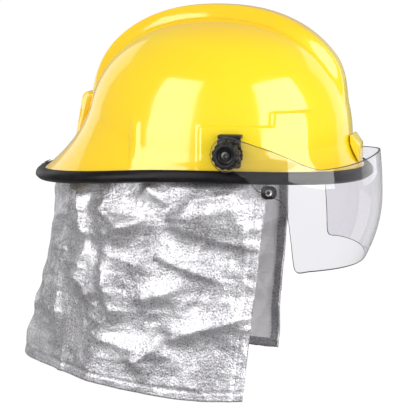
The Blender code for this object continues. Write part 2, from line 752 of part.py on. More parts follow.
def cape_fittings(looks, home):
    """Press studs on the band and the black end tabs under the trim."""
    for name, degrees in (("cape_stud_right_front", -75), ("cape_stud_right_rear", -128),
                          ("cape_stud_rear", 180), ("cape_stud_left_rear", 128),
                          ("cape_stud_left_front", 75)):
        at = cape_point(math.radians(degrees), 0.0, -CAPE_THICK - 5.2 * MM)
        bpy.ops.mesh.primitive_cylinder_add(vertices=16, radius=5 * MM, depth=1.6 * MM)
        stud = bpy.context.object
        stud.name = name
        ahead = cape_point(math.radians(degrees + 1), 0.0) - cape_point(math.radians(degrees - 1), 0.0)
        out = Vector((ahead.y, -ahead.x, 0)).normalized()
        stud.rotation_euler = out.to_track_quat("Z", "Y").to_euler()
        stud.location = (at.x, at.y, -2 * MM)
        stud.data.materials.append(looks["steel"])
        rehome(stud, home)
    for side, sign in (("right", -1), ("left", 1)):
        x = 66 * MM if sign < 0 else 54 * MM
        y = sign * (102.4 * MM if sign < 0 else 105.4 * MM)
        bevelled_box("cape_tab_" + side, (x - 7 * MM, y - 1.2 * MM, -19 * MM),
                     (x + 7 * MM, y + 1.2 * MM, -7.5 * MM), 0.5 * MM, looks["black"], home)


def chin_strap(looks, home, cutters):
    """Webbing from both sides to a side-release buckle under a chin pad."""
    for side, sign in (("right", -1), ("left", 1)):
        end_y = 27 * MM if sign < 0 else 33 * MM
        route = [(STRAP_X, sign * ANCHOR_Y, -2 * MM), (STRAP_X, sign * 96.2 * MM, -14 * MM),
                 (STRAP_X, sign * 93 * MM, -35 * MM), (STRAP_X, sign * 84 * MM, -62 * MM),
                 (STRAP_X, sign * 69 * MM, -90 * MM), (STRAP_X, sign * 52 * MM, -109 * MM),
                 (STRAP_X, sign * 42 * MM, -118 * MM), (STRAP_X, sign * end_y, BUCKLE_Z)]
        strap("chin_strap_" + side, route, (1, 0, 0), STRAP_WIDE, STRAP_THICK, looks["webbing"], home)
        low_y, high_y = sorted((sign * 94.5 * MM, sign * 99.5 * MM))
        bevelled_box("strap_anchor_" + side, (STRAP_X - 13 * MM, low_y, -0.5 * MM),
                     (STRAP_X + 13 * MM, high_y, 15 * MM), 0.8 * MM, looks["steel"], home)
    socket = bevelled_box("buckle_socket",
                          (STRAP_X - BUCKLE_HALF_X, SOCKET_START_Y, BUCKLE_Z - BUCKLE_HALF_Z),
                          (STRAP_X + BUCKLE_HALF_X, SOCKET_END_Y, BUCKLE_Z + BUCKLE_HALF_Z),
                          1.5 * MM, looks["black"], home)
    pocket = as_cutter(bevelled_box("buckle_pocket", (STRAP_X - 10 * MM, -18 * MM, BUCKLE_Z - 2.6 * MM),
                                    (STRAP_X + 10 * MM, 12 * MM, BUCKLE_Z + 2.6 * MM), 0,
                                    looks["black"], cutters))
    cut(socket, pocket)
    tongue = [(-9, 7), (-9, -12), (-6, -16), (-4, -12), (-4, 1), (4, 1), (4, -12), (6, -16),
              (9, -12), (9, 7)]
    outline = [(-13, 7)] + tongue + [(13, 7), (13, 30), (-13, 30)]
    curve = bpy.data.curves.new("buckle_plug", "CURVE")
    curve.dimensions = "2D"
    curve.fill_mode = "BOTH"
    curve.extrude = 1.8 * MM
    spline = curve.splines.new("POLY")
    spline.points.add(len(outline) - 1)
    for point, (x, y) in zip(spline.points, outline):
        point.co = (STRAP_X + x * MM, y * MM, 0, 1)
    spline.use_cyclic_u = True
    plug = bpy.data.objects.new("buckle_plug", curve)
    plug.location = (0, 0, BUCKLE_Z)
    curve.materials.append(looks["black"])
    home.objects.link(plug)
    bevelled_box("chin_pad", (STRAP_X - 16 * MM, -22 * MM, BUCKLE_Z + 5.5 * MM),
                 (STRAP_X + 16 * MM, 22 * MM, BUCKLE_Z + 11 * MM), 2 * MM, looks["leather"], home)


def main():
    for old in list(bpy.data.objects):
        bpy.data.objects.remove(old, do_unlink=True)
    home = collection_named("firefighter_helmet")
    cutters = collection_named("cutters")
    looks = {
        "yellow": material("gelcoat_yellow", (0.95, 0.62, 0.01), 0.12),
        "black": material("black_nylon", (0.02, 0.02, 0.02), 0.4),
        "rubber": material("black_rubber", (0.02, 0.018, 0.018), 0.45),
        "clear": material("clear_polycarbonate", (0.95, 0.97, 0.97), 0.03, 0.0, 1.0),
        "steel": material("bright_steel", (0.6, 0.6, 0.6), 0.3, 1.0),
        "silver": material("aluminised_cloth", (0.62, 0.61, 0.62), 0.42, 0.8),
        "foam": material("grey_foam", (0.12, 0.12, 0.13), 0.9),
        "webbing": material("black_webbing", (0.03, 0.03, 0.03), 0.85),
        "leather": material("soft_leather", (0.08, 0.05, 0.035), 0.6),
    }
    shell = outer_shell(looks["yellow"], home, cutters)
    edge_trim(looks["rubber"], home)
    trim_joint_clip(looks["steel"], home)
    front_badge_plate(looks["yellow"], home)
    impact_liner(looks["foam"], home)
    crown_pad(looks["foam"], home)
    hoop("headband", -140, 140, 34, 0, BAND_LOW_Z, BAND_HIGH_Z, BAND_THICK, looks["black"], home)
    hoop("brow_sweatband", -75, 75, 18, -3 * MM, BAND_LOW_Z - 1 * MM, BAND_HIGH_Z + 1 * MM, 3 * MM,
         looks["leather"], home)
    crown_straps(looks["webbing"], home)
    suspension_clips(looks["black"], home)
    size_adjuster(looks["black"], looks["foam"], home, cutters)
    ear_holes = []
    for side, sign in (("right", -1), ("left", 1)):
        bore = pivot_set(side, sign, looks, home, cutters)
        cut(shell, bore)
        ear_holes.append(as_cutter(cylinder_along("ear_hole_" + side, "Y", sign * 118 * MM,
                                                  sign * 130 * MM, (PIVOT_X, 0, PIVOT_Z),
                                                  EAR_HOLE_R, looks["clear"], cutters, 24)))
    visor_lens(looks["clear"], home, ear_holes)
    neck_cape(looks["silver"], home)
    cape_band(looks["webbing"], home)
    cape_fittings(looks, home)
    chin_strap(looks, home, cutters)


main()
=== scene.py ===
"""Looks of the firefighter helmet: fine shell, visor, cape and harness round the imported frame."""
import json
import math

import bmesh
import bpy
import numpy as np
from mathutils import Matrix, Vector


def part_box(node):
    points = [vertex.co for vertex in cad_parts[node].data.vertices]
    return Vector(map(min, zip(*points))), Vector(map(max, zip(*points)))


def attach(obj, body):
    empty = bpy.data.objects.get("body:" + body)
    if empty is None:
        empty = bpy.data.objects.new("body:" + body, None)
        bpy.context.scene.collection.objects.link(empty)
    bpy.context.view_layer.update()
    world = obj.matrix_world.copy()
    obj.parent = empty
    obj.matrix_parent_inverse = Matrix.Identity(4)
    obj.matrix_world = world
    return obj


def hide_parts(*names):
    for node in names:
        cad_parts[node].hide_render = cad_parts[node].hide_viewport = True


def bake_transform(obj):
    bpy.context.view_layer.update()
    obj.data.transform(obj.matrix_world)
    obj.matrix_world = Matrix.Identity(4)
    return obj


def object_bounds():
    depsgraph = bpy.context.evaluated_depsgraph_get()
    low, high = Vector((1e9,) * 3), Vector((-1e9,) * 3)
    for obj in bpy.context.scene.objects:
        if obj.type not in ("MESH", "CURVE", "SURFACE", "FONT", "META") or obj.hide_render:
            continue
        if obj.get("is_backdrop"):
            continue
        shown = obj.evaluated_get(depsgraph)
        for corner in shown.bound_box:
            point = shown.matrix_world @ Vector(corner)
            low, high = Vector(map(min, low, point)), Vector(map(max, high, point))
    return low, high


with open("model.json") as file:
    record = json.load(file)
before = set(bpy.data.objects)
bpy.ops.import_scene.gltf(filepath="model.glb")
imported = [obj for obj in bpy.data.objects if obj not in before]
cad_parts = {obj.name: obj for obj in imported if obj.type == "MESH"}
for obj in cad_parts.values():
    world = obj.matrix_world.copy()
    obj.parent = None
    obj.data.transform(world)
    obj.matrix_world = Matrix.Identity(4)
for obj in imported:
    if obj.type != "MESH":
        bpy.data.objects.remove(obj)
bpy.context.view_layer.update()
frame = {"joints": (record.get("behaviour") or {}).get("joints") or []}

MM = 0.001
SIDES = (("right", -1), ("left", 1))
JOINTS = {joint["name"]: joint for joint in frame["joints"]}
PIVOT = Vector(JOINTS["visor_raise"]["pos_m"])

# Shell, as the frame's: dome, brim flare (front, side, rear), crest and side panels
DOME_FRONT, DOME_REAR, DOME_SIDE, DOME_RISE = 125 * MM, 122 * MM, 112 * MM, 116 * MM
WAIST_Z = 20 * MM
DOME_POWER, PLAN_POWER = 2.3, 2.2
SHELL_THICK = 3 * MM
FLARE_START_Z = (24 * MM, 21 * MM, 60 * MM)
FLARE_BEND = ((3 * MM, 9 * MM), (1 * MM, 9 * MM), (9 * MM, 22 * MM))
FLARE_EDGE = ((16 * MM, -4 * MM), (3 * MM, 0 * MM), (51 * MM, -9 * MM))
CREST_HEIGHT, CREST_FLAT, CREST_BASE = 11.5 * MM, 11.5 * MM, 19.5 * MM
CREST_FADE_FRONT_Z, CREST_FADE_REAR_Z = (50 * MM, 95 * MM), (25 * MM, 110 * MM)
LUG_HALF = 12 * MM
PANEL_RAISE, REAR_PANEL_RAISE, PANEL_EDGE = 2.8 * MM, 1.2 * MM, 2.4 * MM

# Visor lens
LENS_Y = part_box("visor_lens")[1].y
LENS_THICK = 1.6 * MM
LENS_FLAT_X, LENS_POWER = 45 * MM, 2.2
LENS_FRONT_X, LENS_FULLEST_Z = 153 * MM, -30 * MM
EAR_R = 15.5 * MM
LENS_TOP_Z, LENS_BOTTOM_Z = 13.5 * MM, -85.5 * MM
LENS_BORDER = 0.55 * MM

# Cape
CAPE_TOP_Z, CAPE_BOTTOM_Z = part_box("neck_cape")[1].z, -200 * MM


# ---------------------------------------------------------------- materials

def new_material(name):
    made = bpy.data.materials.new(name)
    made.use_nodes = True
    tree = made.node_tree
    return made, tree, tree.nodes["Principled BSDF"]


def dial(node, **values):
    """Set a node's inputs; an underscore in a name stands for a space."""
    for key, value in values.items():
        node.inputs[key.replace("_", " ")].default_value = value


def add(tree, kind, **values):
    """A new node with its inputs set."""
    node = tree.nodes.new(kind)
    dial(node, **values)
    return node


def coordinates(tree, scale=(1, 1, 1)):
    """Object coordinates in metres, scaled along each axis."""
    source = tree.nodes.new("ShaderNodeTexCoord")
    mapping = tree.nodes.new("ShaderNodeMapping")
    dial(mapping, Scale=scale)
    tree.links.new(source.outputs["Object"], mapping.inputs["Vector"])
    return mapping.outputs["Vector"]


def parts_of(tree, vector):
    """A vector's X, Y and Z outputs."""
    node = tree.nodes.new("ShaderNodeSeparateXYZ")
    tree.links.new(vector, node.inputs["Vector"])
    return node.outputs


def cell_field(tree, vector, scale, feature="F1"):
    """Distance in a Voronoi pattern, to the nearest point or to the cell's edge."""
    node = add(tree, "ShaderNodeTexVoronoi", Scale=scale)
    node.feature = feature
    tree.links.new(vector, node.inputs["Vector"])
    return node.outputs["Distance"]


def noise_field(tree, vector, scale, detail=3.0, roughness=0.5, distortion=0.0):
    node = add(tree, "ShaderNodeTexNoise", Scale=scale, Detail=detail, Roughness=roughness,
               Distortion=distortion)
    tree.links.new(vector, node.inputs["Vector"])
    return node.outputs["Fac"]


def ramp(tree, value, stops):
    """A colour ramp through (position, colour) stops."""
    node = tree.nodes.new("ShaderNodeValToRGB")
    band = node.color_ramp
    while len(band.elements) < len(stops):
        band.elements.new(0.5)
    for element, (place, colour) in zip(band.elements, stops):
        element.position = place
        element.color = (*colour, 1.0)
    tree.links.new(value, node.inputs["Fac"])
    return node.outputs["Color"]


def spread(tree, value, low, high, start=0.0, end=1.0):
    """A value from start to end mapped to low to high."""
    node = tree.nodes.new("ShaderNodeMapRange")
    dial(node, From_Min=start, From_Max=end, To_Min=low, To_Max=high)
    tree.links.new(value, node.inputs["Value"])
    return node.outputs["Result"]


def tint(tree, shader, value, stops):
    """Drive the shader's colour by a ramp over a value."""
    tree.links.new(ramp(tree, value, stops), shader.inputs["Base Color"])


def roughen(tree, shader, value, low, high, start=0.0, end=1.0):
    """Drive the shader's roughness from low to high by a value."""
    tree.links.new(spread(tree, value, low, high, start, end), shader.inputs["Roughness"])


def bump(tree, shader, height, distance, strength=1.0, over=None):
    node = add(tree, "ShaderNodeBump", Strength=strength, Distance=distance)
    tree.links.new(height, node.inputs["Height"])
    if over is not None:
        tree.links.new(over, node.inputs["Normal"])
    tree.links.new(node.outputs["Normal"], shader.inputs["Normal"])
    return node.outputs["Normal"]


def shared(tree, share, first, second):
    """A mix of two shaders; share is the part of the second."""
    node = tree.nodes.new("ShaderNodeMixShader")
    for socket, source in zip(node.inputs, (share, first, second)):
        tree.links.new(source, socket)
    return node.outputs["Shader"]


def math_node(tree, operation, a, b=None):
    node = tree.nodes.new("ShaderNodeMath")
    node.operation = operation
    for socket, value in zip(node.inputs, (a, b)):
        if value is None:
            continue
        if isinstance(value, (int, float)):
            socket.default_value = value
        else:
            tree.links.new(value, socket)
    return node.outputs["Value"]


def weighed(tree, first, second, share):
    """Two fields added, with that share of the first."""
    return math_node(tree, "ADD", math_node(tree, "MULTIPLY", first, share),
                     math_node(tree, "MULTIPLY", second, 1 - share))


def gelcoat():
    """Glossy yellow gelcoat: lemon on the front and sides; the warmer, deeper yellow at the rear,
    on the crest and low on the wall is painted shade and painted reflection.
    """
    made, tree, shader = new_material("gelcoat_yellow")
    at = coordinates(tree)
    place = parts_of(tree, at)
    # Painted shade and painted reflection: a deeper, warmer yellow laid on by place at the rear, on
    # the crest and low on the wall, with a little real random tone mixed in.
    rear = spread(tree, place["X"], 1.0, 0.0, -0.13, 0.03)
    high = spread(tree, place["Z"], 0.0, 1.0, 0.108, 0.128)
    low = spread(tree, place["Z"], 0.6, 0.0, 0.0, 0.035)
    painted_warmth_and_tone = math_node(tree, "MAXIMUM", math_node(tree, "MAXIMUM", rear, high), low)
    painted_warmth_and_tone = weighed(tree, painted_warmth_and_tone, noise_field(tree, at, 9.0, 2.0), 0.86)
    tint(tree, shader, painted_warmth_and_tone, [(0.08, (0.93, 0.705, 0.008)), (0.95, (0.95, 0.60, 0.008))])
    scuff = noise_field(tree, at, 55.0, 5.0, 0.7)
    roughen(tree, shader, scuff, 0.10, 0.20, 0.35, 0.75)
    bump(tree, shader, noise_field(tree, at, 240.0, 1.0), 0.00004, 0.35)
    dial(shader, Coat_Weight=0.3, Coat_Roughness=0.03)
    return made


def raw_laminate():
    """The shell's unpolished inside: yellow resin over chopped strand."""
    made, tree, shader = new_material("raw_laminate")
    at = coordinates(tree)
    fibre = noise_field(tree, at, 180.0, 6.0, 0.75, 1.5)
    tint(tree, shader, fibre, [(0.35, (0.52, 0.33, 0.03)), (0.65, (0.72, 0.50, 0.08))])
    dial(shader, Roughness=0.55)
    bump(tree, shader, fibre, 0.0005, 0.5)
    return made


def black_rubber():
    """Extruded black rubber: fine grain, a soft sheen and a little dust."""
    made, tree, shader = new_material("black_rubber")
    at = coordinates(tree)
    dust = noise_field(tree, at, 70.0, 6.0, 0.7)
    tint(tree, shader, dust, [(0.45, (0.004, 0.003, 0.004)), (0.8, (0.014, 0.011, 0.012))])
    roughen(tree, shader, dust, 0.30, 0.55, 0.3, 0.8)
    bump(tree, shader, noise_field(tree, at, 900.0, 2.0), 0.0001, 0.5)
    dial(shader, Specular_IOR_Level=0.16)
    return made


def moulded_nylon():
    """Black moulded nylon with spark-eroded grain."""
    made, tree, shader = new_material("black_nylon")
    at = coordinates(tree)
    grain = noise_field(tree, at, 1100.0, 2.0)
    wear = noise_field(tree, at, 60.0, 4.0, 0.7)
    tint(tree, shader, wear, [(0.4, (0.007, 0.007, 0.008)), (0.75, (0.018, 0.018, 0.019))])
    roughen(tree, shader, wear, 0.30, 0.48, 0.3, 0.8)
    bump(tree, shader, grain, 0.00008, 0.6)
    dial(shader, Specular_IOR_Level=0.2)
    return made


def plated_steel(name, shade):
    """Plated steel with turned brushing; shade scales its brightness."""
    made, tree, shader = new_material(name)
    at = coordinates(tree, (1, 8, 8))
    brushed = noise_field(tree, at, 260.0, 4.0, 0.7)
    tint(tree, shader, brushed, [(0.3, (0.42 * shade, 0.41 * shade, 0.40 * shade)),
                                 (0.7, (0.68 * shade, 0.67 * shade, 0.66 * shade))])
    dial(shader, Metallic=1.0)
    roughen(tree, shader, brushed, 0.22, 0.42)
    bump(tree, shader, brushed, 0.00005, 0.5)
    return made


def clear_polycarbonate():
    """Clear sheet that lets lamps through, with a faint haze of fine scratches."""
    made, tree, shader = new_material("clear_polycarbonate")
    at = coordinates(tree)
    haze = noise_field(tree, at, 40.0, 6.0, 0.75)
    roughen(tree, shader, haze, 0.0, 0.05, 0.4, 0.9)
    dial(shader, Base_Color=(0.85, 0.84, 0.87, 1.0), Transmission_Weight=1.0, IOR=1.45)
    path = tree.nodes.new("ShaderNodeLightPath")
    through = add(tree, "ShaderNodeBsdfTransparent", Color=(0.93, 0.94, 0.95, 1.0))
    both = shared(tree, path.outputs["Is Shadow Ray"], shader.outputs["BSDF"],
                  through.outputs["BSDF"])
    tree.links.new(both, tree.nodes["Material Output"].inputs["Surface"])
    return made


def polished_edge():
    """The sheet's cut edge: its dark colour is painted shade, standing for the dark line that light
    running along inside the sheet makes.
    """
    made, tree, shader = new_material("polycarbonate_edge")
    saw = noise_field(tree, coordinates(tree, (1, 1, 6)), 160.0, 4.0, 0.6)
    # Painted shade: the clear edge is coloured near black.
    tint(tree, shader, saw, [(0.3, (0.025, 0.02, 0.02)), (0.7, (0.07, 0.065, 0.065))])
    dial(shader, Roughness=0.35, Specular_IOR_Level=0.25)
    return made


def woven_height(tree, at, threads_per_m):
    """A plain weave: two sets of rounded threads, from object coordinates."""
    place = parts_of(tree, at)
    turns = 2 * math.pi * threads_per_m
    flat = math_node(tree, "ADD", place["X"], place["Y"])
    one = math_node(tree, "SINE", math_node(tree, "MULTIPLY", flat, turns))
    two = math_node(tree, "SINE", math_node(tree, "MULTIPLY", place["Z"], turns))
    return spread(tree, math_node(tree, "MULTIPLY", one, two), 0.0, 1.0, -1.0, 1.0)


def aluminised_cloth():
    """Aluminium foil bonded to glass cloth, bright with a fine pebbled grain; its mottled colour is
    painted reflection and its fine bright specks are painted glint.
    """
    made, tree, shader = new_material("aluminised_cloth")
    at = coordinates(tree)
    glint_and_pebble_speck = noise_field(tree, at, 620.0, 2.0, 0.6)
    painted_mottle = noise_field(tree, at, 26.0, 5.0, 0.6)
    # Painted reflection and painted glint: the broad light and dark mottle and the fine bright
    # specks in the colour stand for light on the creased foil; the specks also drive the real
    # pebbled bump.
    tone = weighed(tree, glint_and_pebble_speck, painted_mottle, 0.62)
    tint(tree, shader, tone, [(0.34, (0.16, 0.155, 0.165)), (0.50, (0.50, 0.49, 0.51)),
                              (0.66, (0.74, 0.73, 0.75))])
    dial(shader, Metallic=0.85)
    roughen(tree, shader, tone, 0.52, 0.34, 0.3, 0.7)
    crease = cell_field(tree, at, 85.0, "DISTANCE_TO_EDGE")
    first = bump(tree, shader, crease, 0.0010, 0.30)
    bump(tree, shader, glint_and_pebble_speck, 0.0008, 0.8, over=first)
    return made


def cape_lining():
    """Pale napped cotton on the cape's inner side."""
    made, tree, shader = new_material("cape_lining")
    at = coordinates(tree)
    nap = noise_field(tree, at, 420.0, 5.0, 0.7)
    tint(tree, shader, nap, [(0.3, (0.90, 0.88, 0.90)), (0.7, (0.97, 0.95, 0.97))])
    dial(shader, Roughness=0.95, Sheen_Weight=0.3)
    bump(tree, shader, nap, 0.0006, 0.7)
    return made


def webbing(name, dark, light):
    """Flat woven strap: cross ribs and a napped surface."""
    made, tree, shader = new_material(name)
    at = coordinates(tree)
    weave = woven_height(tree, at, 420.0)
    fluff = noise_field(tree, at, 500.0, 4.0, 0.7)
    tint(tree, shader, fluff, [(0.3, dark), (0.75, light)])
    dial(shader, Roughness=0.82, Sheen_Weight=0.25)
    first = bump(tree, shader, weave, 0.0005, 0.8)
    bump(tree, shader, fluff, 0.0003, 0.4, over=first)
    return made


def soft_leather():
    """Dark leather with pebbled grain and darker pores."""
    made, tree, shader = new_material("dark_leather")
    at = coordinates(tree)
    pebble = cell_field(tree, at, 620.0)
    tone = noise_field(tree, at, 45.0, 5.0, 0.6)
    tint(tree, shader, tone, [(0.3, (0.030, 0.018, 0.012)), (0.7, (0.075, 0.045, 0.028))])
    roughen(tree, shader, pebble, 0.42, 0.62)
    bump(tree, shader, pebble, 0.0005, 0.6)
    return made


def bead_foam():
    """Charcoal moulded bead foam: close cells with dark joins."""
    made, tree, shader = new_material("grey_foam")
    at = coordinates(tree)
    cells = cell_field(tree, at, 330.0, "DISTANCE_TO_EDGE")
    tint(tree, shader, cells, [(0.0, (0.035, 0.035, 0.037)), (0.12, (0.085, 0.085, 0.090))])
    dial(shader, Roughness=0.85)
    bump(tree, shader, spread(tree, cells, 0.0, 1.0, 0.0, 0.2), 0.0005, 0.7)
    return made


def sewing_thread():
    made, tree, shader = new_material("sewing_thread")
    twist = noise_field(tree, coordinates(tree), 900.0, 2.0)
    tint(tree, shader, twist, [(0.3, (0.22, 0.21, 0.22)), (0.7, (0.45, 0.43, 0.45))])
    dial(shader, Roughness=0.7)
    return made


LOOK = {
    "yellow": gelcoat(), "laminate": raw_laminate(), "rubber": black_rubber(),
    "nylon": moulded_nylon(), "steel": plated_steel("bright_steel", 1.0),
    "dark_steel": plated_steel("dark_steel", 0.12),
    "clear": clear_polycarbonate(), "lens_edge": polished_edge(),
    "silver": aluminised_cloth(), "lining": cape_lining(),
    "webbing": webbing("black_webbing", (0.010, 0.010, 0.011), (0.045, 0.045, 0.048)),
    "leather": soft_leather(), "foam": bead_foam(), "thread": sewing_thread(),
}


# ---------------------------------------------------------------- mesh helpers

def ease(value):
    value = np.clip(value, 0.0, 1.0)
    return value * value * (3 - 2 * value)


def spow(value, power):
    return np.sign(value) * np.abs(value) ** power


def mm(points):
    """Places given in millimetres, in metres."""
    return [tuple(value * MM for value in point) for point in points]


def unit(vectors):
    return vectors / np.maximum(np.linalg.norm(vectors, axis=-1, keepdims=True), 1e-12)


def distances(route):
    """Length walked along a route to each of its points."""
    steps = np.linalg.norm(np.diff(route, axis=0), axis=1)
    return np.concatenate([[0.0], np.cumsum(steps)])


def level_side(route):
    """Level directions square to a route, to the right of its way."""
    ahead = unit(np.gradient(route, axis=0))
    return np.stack([ahead[:, 1], -ahead[:, 0], 0 * ahead[:, 0]], axis=-1)


def box_weight(value, low, high, edge):
    """1 inside low to high, 0 outside, with soft edges."""
    return ease((value - low) / edge + 0.5) * ease((high - value) / edge + 0.5)


def catmull(points, steps, closed=False):
    """Points along a smooth curve through the given ones, steps between each pair."""
    points = np.asarray(points, float)
    count = len(points)
    spans = count if closed else count - 1
    out = []
    for i in range(spans):
        if closed:
            a, b, c, d = (points[(i + k) % count] for k in (-1, 0, 1, 2))
        else:
            a, b, c, d = (points[min(max(i + k, 0), count - 1)] for k in (-1, 0, 1, 2))
        t = (np.arange(steps) / steps)[:, None]
        out.append(0.5 * (2 * b + (c - a) * t + (2 * a - 5 * b + 4 * c - d) * t ** 2
                          + (3 * b - a - 3 * c + d) * t ** 3))
    if not closed:
        out.append(points[-1:])
    return np.concatenate(out)


def grid_faces(rows, columns, wrap_columns=False, wrap_rows=False):
    """Quads of a grid of points stored row by row."""
    index = np.arange(rows * columns).reshape(rows, columns)
    if wrap_columns:
        index = np.concatenate([index, index[:, :1]], axis=1)
    if wrap_rows:
        index = np.concatenate([index, index[:1]], axis=0)
    quads = np.stack([index[:-1, :-1], index[:-1, 1:], index[1:, 1:], index[1:, :-1]], axis=-1)
    return quads.reshape(-1, 4)


def mesh_object(name, points, faces, looks, face_look=None, inside=None, sharp=None):
    """A smooth mesh object; inside is a point its outer side faces away from."""
    mesh = bpy.data.meshes.new(name)
    mesh.from_pydata([tuple(p) for p in np.asarray(points, float)], [],
                     [tuple(int(i) for i in f) for f in faces])
    for look in (looks if isinstance(looks, (list, tuple)) else [looks]):
        mesh.materials.append(LOOK[look])
    if face_look is not None:
        mesh.polygons.foreach_set("material_index", np.asarray(face_look, np.int32))
    work = bmesh.new()
    work.from_mesh(mesh)
    bmesh.ops.remove_doubles(work, verts=work.verts, dist=2e-6)
    bmesh.ops.recalc_face_normals(work, faces=work.faces)
    work.to_mesh(mesh)
    work.free()
    if inside is not None:
        facing = sum((f.center - Vector(inside)).dot(f.normal) * f.area for f in mesh.polygons)
        if facing < 0:
            mesh.flip_normals()
    mesh.shade_smooth()
    if sharp is not None:
        mesh.set_sharp_from_angle(angle=math.radians(sharp))
    made = bpy.data.objects.new(name, mesh)
    bpy.context.scene.collection.objects.link(made)
    return made


def loft(name, sections, looks, ring=False, sharp=None):
    """Closed sections of equal size joined in a row, capped at both ends unless it is a ring."""
    sections = np.asarray(sections, float)
    rows, columns = sections.shape[:2]
    faces = [tuple(f) for f in grid_faces(rows, columns, True, ring)]
    if not ring:
        faces.append(tuple(range(columns)))
        faces.append(tuple(range((rows - 1) * columns, rows * columns)))
    return mesh_object(name, sections.reshape(-1, 3), faces, looks, sharp=sharp)


def apply_modifiers(made):
    """Turn a piece's modifiers into mesh."""
    graph = bpy.context.evaluated_depsgraph_get()
    mesh = bpy.data.meshes.new_from_object(made.evaluated_get(graph))
    made.modifiers.clear()
    old = made.data
    made.data = mesh
    bpy.data.meshes.remove(old)


def soften(made, width, segments, above=None):
    """Round off a piece's edges: only those sharper than an angle in degrees, if one is given."""
    edges = made.modifiers.new("edges", "BEVEL")
    edges.width = width
    edges.segments = segments
    if above is not None:
        edges.limit_method = "ANGLE"
        edges.angle_limit = math.radians(above)
    apply_modifiers(made)
    made.data.shade_smooth()


def carve(made, cutter):
    """Cut one closed piece out of another, and drop it."""
    cut = made.modifiers.new("cut", "BOOLEAN")
    cut.object = cutter
    cut.operation = "DIFFERENCE"
    cut.solver = "EXACT"
    apply_modifiers(made)
    bpy.data.objects.remove(cutter, do_unlink=True)


def join(name, parts):
    """One object from several, keeping their materials."""
    with bpy.context.temp_override(active_object=parts[0], selected_editable_objects=parts,
                                   object=parts[0], selected_objects=parts):
        bpy.ops.object.join()
    parts[0].name = name
    parts[0].data.name = name
    return parts[0]


def settle(piece, body, look, *nodes):
    """Ride on a body and stand for CAD nodes; the look argument is not used."""
    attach(piece, body)
    if nodes:
        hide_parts(*nodes)
    return piece


def rounded_section(half_wide, half_thick, corner, steps=4):
    """A rounded rectangle as (wide, thick) points."""
    points = []
    for sx, sy, start in ((1, 1, 0), (-1, 1, 90), (-1, -1, 180), (1, -1, 270)):
        for i in range(steps + 1):
            turn = math.radians(start + 90 * i / steps)
            points.append((sx * (half_wide - corner) + corner * math.cos(turn),
                           sy * (half_thick - corner) + corner * math.sin(turn)))
    return points


def sweep(name, route, across, section, looks, sharp=None, ring=False):
    """A section of (wide, thick) points carried along a route; across is the wide direction."""
    route = np.asarray(route, float)
    across = np.asarray(across, float)
    if across.ndim == 1:
        across = np.tile(across, (len(route), 1))
    ahead = np.gradient(route, axis=0)
    if ring:
        ahead = np.roll(route, -1, axis=0) - np.roll(route, 1, axis=0)
    ahead /= np.linalg.norm(ahead, axis=1)[:, None]
    up = np.cross(ahead, across)
    up /= np.linalg.norm(up, axis=1)[:, None]
    sections = [[p + a * w + u * t for w, t in section] for p, a, u in zip(route, across, up)]
    return loft(name, sections, looks, ring=ring, sharp=sharp)


def turned(name, profile, centre, axis, looks, sides=64, sharp=35, wobble=None, ring=False):
    """A solid of revolution: profile points are (radius, along axis); a ring has a bore."""
    axis = Vector(axis).normalized()
    side = axis.orthogonal().normalized()
    other = axis.cross(side)
    sections = []
    for j, (radius, along) in enumerate(profile):
        round_line = []
        for i in range(sides):
            turn = 2 * math.pi * i / sides
            reach = radius if wobble is None else wobble(radius, along, turn, j)
            round_line.append(Vector(centre) + axis * along
                              + (side * math.cos(turn) + other * math.sin(turn)) * reach)
        sections.append(round_line)
    return loft(name, sections, looks, sharp=sharp, ring=ring)


def stitches(name, route, normals, length, gap, radius, body):
    """Short raised threads laid end to end along a route, as one piece."""
    route = np.asarray(route, float)
    normals = np.asarray(normals, float)
    along = distances(route)
    sides, points, faces = 6, [], []
    arch = np.sin(np.linspace(0.12, math.pi - 0.12, 6))
    start = gap
    while start + length < along[-1]:
        places = np.linspace(start, start + length, 6)
        line = np.stack([np.interp(places, along, route[:, k]) for k in range(3)], axis=1)
        up = np.stack([np.interp(places, along, normals[:, k]) for k in range(3)], axis=1)
        up /= np.linalg.norm(up, axis=1)[:, None]
        ahead = np.gradient(line, axis=0)
        ahead /= np.linalg.norm(ahead, axis=1)[:, None]
        beside = np.cross(ahead, up)
        first = len(points)
        for p, u, s, rise in zip(line, up, beside, arch):
            for k in range(sides):
                turn = 2 * math.pi * k / sides
                reach = radius * (0.55 + 0.45 * rise)
                points.append(p + u * (radius * 0.9 * rise + reach * math.sin(turn) * 0.8)
                              + s * reach * math.cos(turn))
        for row in range(5):
            for k in range(sides):
                after = (k + 1) % sides
                base = first + row * sides
                faces.append((base + k, base + after, base + sides + after, base + sides + k))
        faces.append(tuple(first + k for k in range(sides)))
        faces.append(tuple(first + 5 * sides + k for k in range(sides)))
        start += length + gap
    return settle(mesh_object(name, points, faces, "thread"), body, "thread")


# ---------------------------------------------------------------- the shell's surface

def mix(theta, front, side, rear):
    """A quantity given at the front, sides and rear, mixed for plan angles."""
    facing = np.cos(theta)
    ahead = np.maximum(facing, 0.0) ** 2
    behind = np.maximum(-facing, 0.0) ** 2
    return ahead * front + behind * rear + (1 - ahead - behind) * side


def oval(theta, front, rear, side, power=PLAN_POWER):
    length = np.where(np.cos(theta) >= 0, front, rear)
    return (length * spow(np.cos(theta), 2 / power), side * spow(np.sin(theta), 2 / power))


